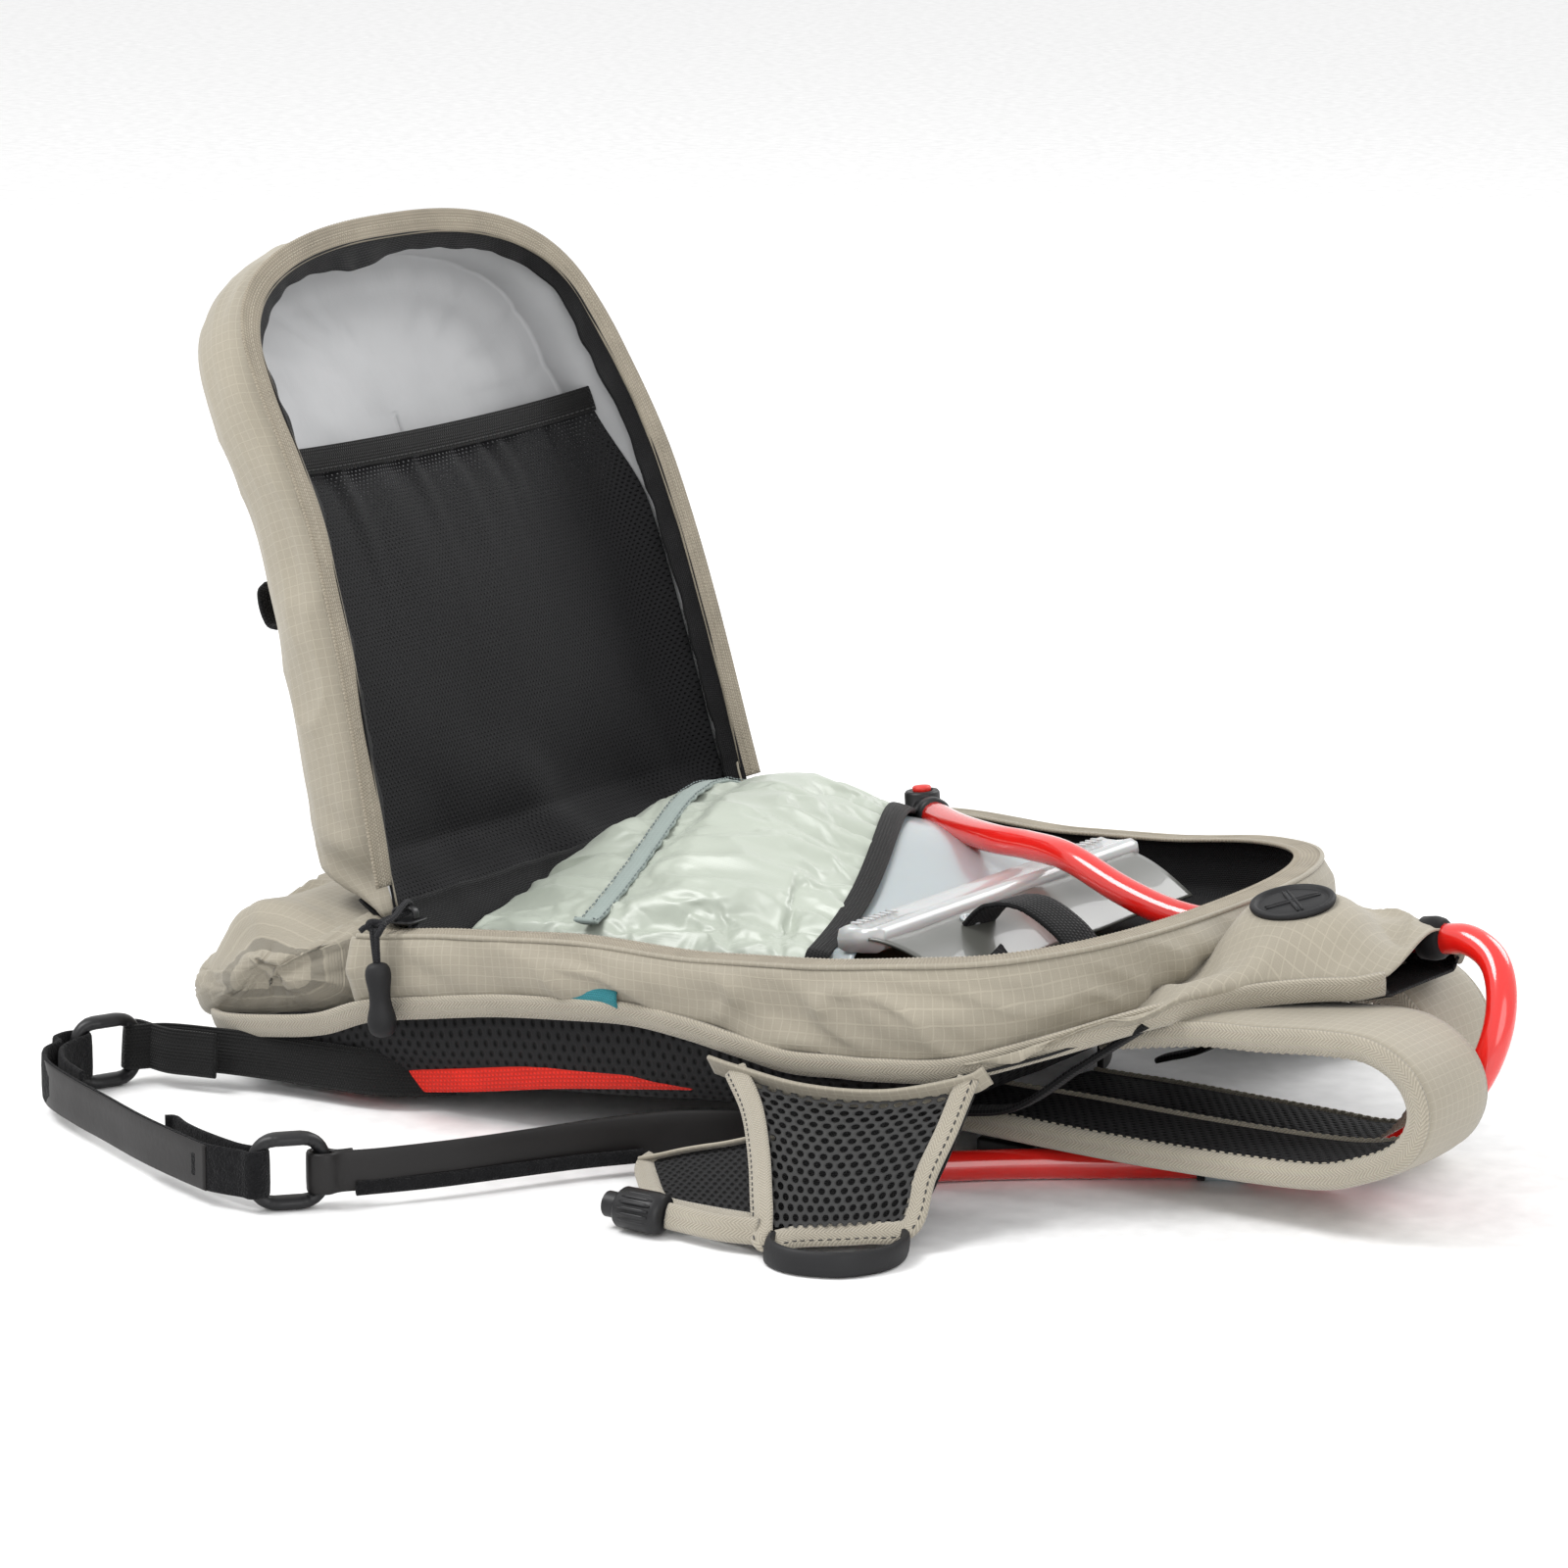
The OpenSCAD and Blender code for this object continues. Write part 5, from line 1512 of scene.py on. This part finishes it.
def shoulder(tag, path, y0, width=38):
    """Padded strap: mesh toward the body, tan cloth outside, and bound edges."""
    mid = y0 + width / 2
    line = Path(curve_through([(x, mid, z) for x, z in path], 8))

    def tight(t):
        return 1.0 - 0.10 * smooth(t, 0.82, 1.0) + 0.03 * sin(9 * t)

    core = strip(
        "shoulder_pad_" + tag, line, (0, 1, 0), width - 3.0, 6.6, FLOOR, "spacer", steps=150,
        shape=section(width - 3.0, 6.6, 0.42, crown=0.5), widths=tight, replaces="shoulder_" + tag)

    def cover(u, v):
        p, d = line.at(u), line.along(u)
        up = ACROSS.cross(d).normalized()
        k = (2 * v - 1) * (width / 2 - 1.2) * tight(u)
        out = 4.7 - 0.9 * abs(2 * v - 1) ** 3 + 0.22 * ripple(u * 260, k, mid, 18)
        return p + Vector((0, k, 0)) - up * out

    surface("shoulder_cover_" + tag, cover, 160, 14, FLOOR, "tan", thick=0.6)
    for k, side in (("a", -1), ("b", 1)):
        edge = Path([line.at(i / 150) + Vector((0, side * (width / 2 - 1.5) * tight(i / 150), 0))
                     for i in range(151)])

        def stand(t):
            return ACROSS.cross(edge.along(t)) + Vector((0, -0.12 * side, 0))

        strip(
            "shoulder_binding_%s_%s" % (tag, k), edge, stand, 7.9, 2.6, FLOOR, "binding", steps=170,
            crown=0.5)
        stitches(
            "shoulder_stitch_%s_%s" % (tag, k), edge, FLOOR,
            lambda t: ACROSS.cross(edge.along(t)) * 4.05 + Vector((0, -0.9 * side, 0)), "thread", pitch=3.0)


shoulder("near", NEAR_PATH, -60)
shoulder("far", FAR_PATH, 7)

for tag, y, pts in (("near", -65.2, [(150, 59), (126, 42), (104, 26), (84, 21)]),
                    ("far", 50.8, [(150, 59), (126, 40), (104, 20), (84, 12)])):
    strip(
        "load_lifter_" + tag, [(x, y, z) for x, z in pts], (0, 1, 0), 9.6, 1.9, FLOOR, "black_web",
        steps=50, crown=0.15, replaces="lifter_" + tag)

# ------------------------------------------------------------------ chest buckle
for node in ("buckle_female", "buckle_male", "lock_button"):
    coat(node, "plastic")


def rounded_block(name, x0, x1, y0, y1, z0, z1, r, mat):
    """A block whose corners are rounded in plan and whose edges are softened."""
    ring = []
    for cx, cy, a0 in ((x1 - r, y1 - r, 0), (x0 + r, y1 - r, 90), (x0 + r, y0 + r, 180),
                       (x1 - r, y0 + r, 270)):
        for k in range(7):
            a = radians(a0 + 15 * k)
            ring.append((cx + r * cos(a), cy + r * sin(a)))
    soft = 0.9
    levels = [(z, 1 - 2 * inset / (x1 - x0), 1 - 2 * inset / (y1 - y0)) for z, inset in (
        (z0, soft), (z0 + 0.35, soft * 0.35), (z0 + 0.9, 0), (z1 - 0.9, 0), (z1 - 0.35, soft * 0.35),
        (z1, soft))]
    return stack(name, ring, levels, FLOOR, mat, middle=((x0 + x1) / 2, (y0 + y1) / 2))


rounded_block("buckle_shell_rim", 77.6, 98.4, -50.5, -45.6, 0.3, 8.2, 2.0, "plastic")

# ------------------------------------------------------------------ side straps
RING1_A, RING1_B = Vector((-199, -131, 0)), Vector((-207, -151, 0))
RING2_A, RING2_B = Vector((-72, -221, 0)), Vector((-58, -205, 0))
WEB_Z = 4.7
WEB_MID = WEB_Z + WEB_HEIGHT / 2


def ring_piece(name, a, b, place, node):
    """Moulded loop: two round bars joined by fuller ends, standing on edge."""
    d = (b - a).normalized()
    reach = (b - a).length
    low, high = 2.2, WEB_HEIGHT + 7.2
    corner = 6.5
    path = []
    for cx, cz, a0 in ((reach, high, 0), (0, high, 90), (0, low, 180), (reach, low, 270)):
        sx = -corner if cx else corner
        sz = -corner if cz == high else corner
        for k in range(6):
            ang = radians(a0 + 90 * k / 5)
            x, z = cx + sx + corner * cos(ang), cz + sz + corner * sin(ang)
            path.append(a + d * x + Vector((0, 0, z)))
    path.append(path[0])
    line = Path(path)
    side = Vector((-d.y, d.x, 0))
    verts, marks = [], []
    steps, sides = 96, 12
    for i in range(steps):
        t = i / steps
        p = line.at(t)
        way = (line.at((t + 0.005) % 1.0) - line.at((t - 0.005) % 1.0)).normalized()
        up = side.cross(way).normalized()
        level = abs(way.z)
        wide = lerp(2.2, 3.9, (1 - level) ** 2)
        for k in range(sides):
            ang = 2 * pi * k / sides
            verts.append(place @ (p + side * (wide * cos(ang)) + up * (2.15 * sin(ang))))
    faces = [[i * sides + k, (i + 1) % steps * sides + k, (i + 1) % steps * sides + (k + 1) % sides,
              i * sides + (k + 1) % sides] for i in range(steps) for k in range(sides)]
    piece(name, verts, faces, "plastic", replaces=node)


def turn_round(post, near, r=3.6):
    """Points of webbing that comes from near and goes round a bar."""
    a0 = atan2(near.y - post.y, near.x - post.x)
    return [post + Vector((r * cos(a0 + k), r * sin(a0 + k), 0)) for k in
            (-1.57, -2.36, -3.14, -3.93, -4.71)]


def round_bar(post, *steps):
    """Points beside a bar, each a step (x, y) from it."""
    return [post + Vector((x, y, 0)) for x, y in steps]


def arm_width(t):
    return 1 + 0.28 * smooth(t, 0.35, 0.75)


def lifted(points, z):
    return [Vector((p[0], p[1], z)) for p in points]


SIDES = (("near", FLOOR), ("far", FLOOR @ MIRROR))
for tag, place in SIDES:
    ring_piece("strap_ring_a_" + tag, RING1_A, RING1_B, place, "ring1_" + tag)
    ring_piece("strap_ring_b_" + tag, RING2_A, RING2_B, place, "ring2_" + tag)

    start = [(-92, -97), (-104, -107), (-116, -113), (-132, -115.2), (-150, -117), (-172, -121),
             (-190, -126)]
    wrap = turn_round(RING1_A, Vector((-180, -123, 0)))
    back = [(-186, -130.5), (-176, -128.5), (-168, -126.8)]
    strip(
        "side_elastic_" + tag, lifted(start + wrap + back, WEB_MID + 0.5), (0, 0.12, 1), WEB_HEIGHT, 1.7,
        place, "elastic", steps=140, crown=0.1, replaces="elastic_" + tag)
    stitches(
        "elastic_stitch_" + tag, Path([(-170, -119.2, WEB_MID - 5), (-170, -119.2, WEB_MID + 6)]), place,
        lambda t: (0, -1.1, 0), "thread_dark", pitch=2.0, length=1.3, r=0.25)

    outer = [(-206, -160), (-203, -170), (-192, -181), (-172, -191.5), (-150, -201),
             (-126, -211.5), (-104, -219.5), (-88, -224.5)]
    first = [(-174, -184.5), (-188, -177), (-198, -168), (-201.5, -161)]
    wrap_c = round_bar(RING2_A, *[(3.6 * cos(a), 3.6 * sin(a)) for a in (-2.2, -1.4, -0.5, 0.4, 1.2)])
    tail = [(-80, -218.5), (-96, -214.8), (-108, -210.5), (-116, -206.2), (-119, -207.8)]
    hook_pts = first + round_bar(RING1_B, (4.2, -3.0), (3.8, 2.2), (-0.5, 4.2), (-4.3, 0.5), (-3.6, -6.0))
    hook_pts += outer + wrap_c + tail
    strip(
        "hook_strap_" + tag, lifted(hook_pts, WEB_MID), (0, 0.0, 1), WEB_HEIGHT, 1.8, place, "fuzz",
        steps=300, crown=0.15, replaces="hook_strap_" + tag)
    facing = [(x + 0.9, y - 1.35) for x, y in outer[1:]]
    strip(
        "hook_facing_" + tag, lifted(facing, WEB_MID), (0, 0, 1), WEB_HEIGHT - 0.5, 0.7, place,
        "strap_smooth", steps=80)
    arm_pts = round_bar(RING2_B, (-0.8, -4.2), (3.6, -2.2), (5.0, 3.0))
    arm_pts += [(-45, -192), (-32, -171), (-22, -152), (-10, -131), (4, -113), (24, -99),
                (42, -84), (54, -66), (60, -51)]
    arm_back = round_bar(RING2_B, (5.4, 7.4), (2.4, 3.2), (-2.8, 2.6), (-4.3, -1.2))
    arm_line = Path(curve_through(lifted(arm_back + arm_pts, WEB_Z + 6.6), 8))
    strip(
        "chest_arm_" + tag, arm_line, (0, 0, 1), WEB_HEIGHT - 2, 1.9, place, "strap_smooth", steps=220,
        crown=0.1, widths=arm_width, replaces="chest_arm_" + tag)
    for i, dz in enumerate((-5.3, 5.3)):
        stitches(
            "arm_stitch_%s_%d" % (tag, i), arm_line, place,
            lambda t: Vector((0, 0, dz * arm_width(t))) + UP.cross(arm_line.along(t)) * 1.0,
            "thread_dark", pitch=2.6, length=1.7, r=0.25, start=0.2)
    edge_line = [(-50, -199), (-36, -179), (-24, -158), (-12, -137), (0, -120)]
    strip(
        "arm_hook_edge_" + tag, lifted([(x + 0.6, y - 0.8) for x, y in edge_line], WEB_Z + 1.2),
        (0, 0, 1), 4.6, 2.6, place, "fuzz", steps=60)

# ------------------------------------------------------------------ wings with mesh pockets
WING_A, WING_B = Vector((33, -114, 36)), Vector((112, -107, 44))
WING_C, WING_D = Vector((112, -140, 9)), Vector((80, -168, 8.5))
WING_IN = Vector((0, 4.4, -5.5))


def wing_face(u, v, lift=0.0):
    """Front sheet: straight mouth above, waist below it, and a rounded foot."""
    top = WING_A.lerp(WING_B, u) + Vector((0, -2.5 * arch(u), -3.0 * arch(u)))
    foot = WING_D.lerp(WING_C, u) + Vector((0, -3.0 * arch(u), 0))
    p = top.lerp(foot, v)
    waist = Vector((0, 3.6, 2.6)) * arch(v) * (abs(2 * u - 1) ** 1.5)
    belly = Vector((0.1, -0.75, 0.45)) * (2.6 * arch(u) * arch(v)
                                         + 0.9 * ripple(p.x, p.y, 200, 20))
    return p + waist + belly + Vector((0, -0.6, 0.4)) * lift


def wing_back(u, v):
    p = wing_face(u, v)
    return p + WING_IN * 0.92 - Vector((0, -0.5, 0.3)) * (3 * arch(u) * arch(v))


for tag, place in SIDES:
    net = surface("wing_mesh_" + tag, wing_face, 60, 44, place, "wing")
    surface(
        "wing_lining_" + tag, wing_back, 40, 30, place, "tape_black", slot="mesh_black", thick=0.7)
    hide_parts("wing_" + tag)
    flap_line = [(22, -113.5, 37), (33, -115.6, 36.5), (60, -117.2, 35.0), (88, -114.6, 37),
                 (112, -108.6, 43.5), (118, -105, 47)]
    strip("wing_flap_" + tag, flap_line, (0, -0.55, 0.85), 7.6, 1.5, place, "tan", steps=70)
    frame_edge = Path(curve_through([
        WING_A + Vector((-1, -1.2, 1)), wing_face(0, 0.3, 1), wing_face(0, 0.62, 1), wing_face(0, 0.9, 1),
        WING_D + Vector((2, -2.0, -3.2)), wing_face(0.3, 1.0, 1) + Vector((0, 0, -3.0)),
        wing_face(0.75, 1.0, 1) + Vector((0, 0, -3.0)), WING_C + Vector((1.5, -0.6, -1.4)),
        wing_face(1, 0.75, 1), wing_face(1, 0.45, 1), wing_face(1, 0.2, 1), WING_B + Vector((1, -1.2, 2))], 10))
    sheet_out = Vector((0.05, -0.78, 0.62))

    def flat_on(t):
        """Across the tape, in the sheet's own plane."""
        return frame_edge.along(t).cross(sheet_out)

    strip("wing_binding_" + tag, frame_edge, flat_on, 7.4, 2.2, place, "binding", steps=190, crown=0.35)
    stitches(
        "wing_stitch_" + tag, frame_edge, place, lambda t: flat_on(t).normalized() * 2.2 + sheet_out * 1.35,
        "thread_dark", slot="binding_tan", pitch=2.7, length=1.5, r=0.26)
    loop_line = [(82.6, -166.7, 4), (87, -175, 4), (98, -179, 4), (112, -174, 4), (119, -161, 4),
                 (117, -148, 4), (110.9, -141.4, 4)]
    strip(
        "wing_rubber_loop_" + tag, loop_line, (0, 0.25, 1), 7.6, 2.2, place, "rubber", steps=80,
        crown=0.3, replaces="wing_loop_" + tag)

strip(
    "lock_loop_tape", [(78.8, -169, 7), (66, -172, 7), (47.2, -171, 7)], (0, 0.3, 1), 8.0, 2.4, FLOOR,
    "binding", steps=40, crown=0.3, replaces="lock_cord")


def wing_lobe(u, v):
    """The wing's lower front lobe, lying forward toward the floor."""
    p = Vector((8, -130, 7)).lerp(Vector((57, -134, 24)), u).lerp(
        Vector((36, -160, 5)).lerp(Vector((80, -166, 8)), u), v)
    return p + Vector((0, 0, 1.6 * arch(u) * arch(v) + 0.8 * ripple(p.x, p.y, 3, 18)))


for tag, place in SIDES:
    surface("wing_lobe_" + tag, wing_lobe, 40, 30, place, "spacer", thick=0.8)
    strip(
        "wing_lobe_top_" + tag, [wing_lobe(k / 6, 0.03) + Vector((0, 0.4, 1.2)) for k in range(7)],
        (0, -0.7, 0.3), 7.0, 1.3, place, "tan", steps=50)
    lobe_edge = Path(curve_through([wing_lobe(u, v) + Vector((0, -0.3, 0.7)) for u, v in (
        (0.10, -0.02), (0.0, 0.12), (-0.02, 0.5), (-0.01, 0.86), (0.08, 1.0), (0.5, 1.02),
        (0.98, 1.0))], 10))
    strip(
        "wing_lobe_binding_" + tag, lobe_edge, lambda t: lobe_edge.along(t).cross(Vector((0.1, -0.5, 0.86))),
        7.0, 2.2, place, "binding", steps=120, crown=0.35)

lathe(
    "cord_lock_barrel", [(0, 4.6), (0, 5.9), (0.8, 6.5), (12, 6.6), (15.2, 6.2), (16.3, 4.6),
    (16.5, 0.1)], (30, -171, 7), (1, 0, 0), FLOOR, "plastic", sides=36, squeeze=0.86,
    replaces="cord_lock")
beads(
    "cord_lock_flutes",
    [((38, -171 + 6.1 * cos(a), 7 + 5.3 * sin(a)), (1, 0, 0), 11, 0.7)
     for a in [0.35 * k for k in range(18)]],
    FLOOR, "plastic")

# ------------------------------------------------------------------ soft pieces, each given a mesh of its own
for name in ("reservoir_sleeve_cloth", "sleeve_mouth_elastic", "sleeve_drawn_channel", "channel_stitch_a",
             "channel_stitch_b", "water_bag", "bag_level_marks"):
    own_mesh(bpy.data.objects[name])
for name in ("panel_mesh_pocket", "pocket_elastic_band", "pocket_band_stitch"):
    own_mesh(bpy.data.objects[name])

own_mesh(seam_piece)
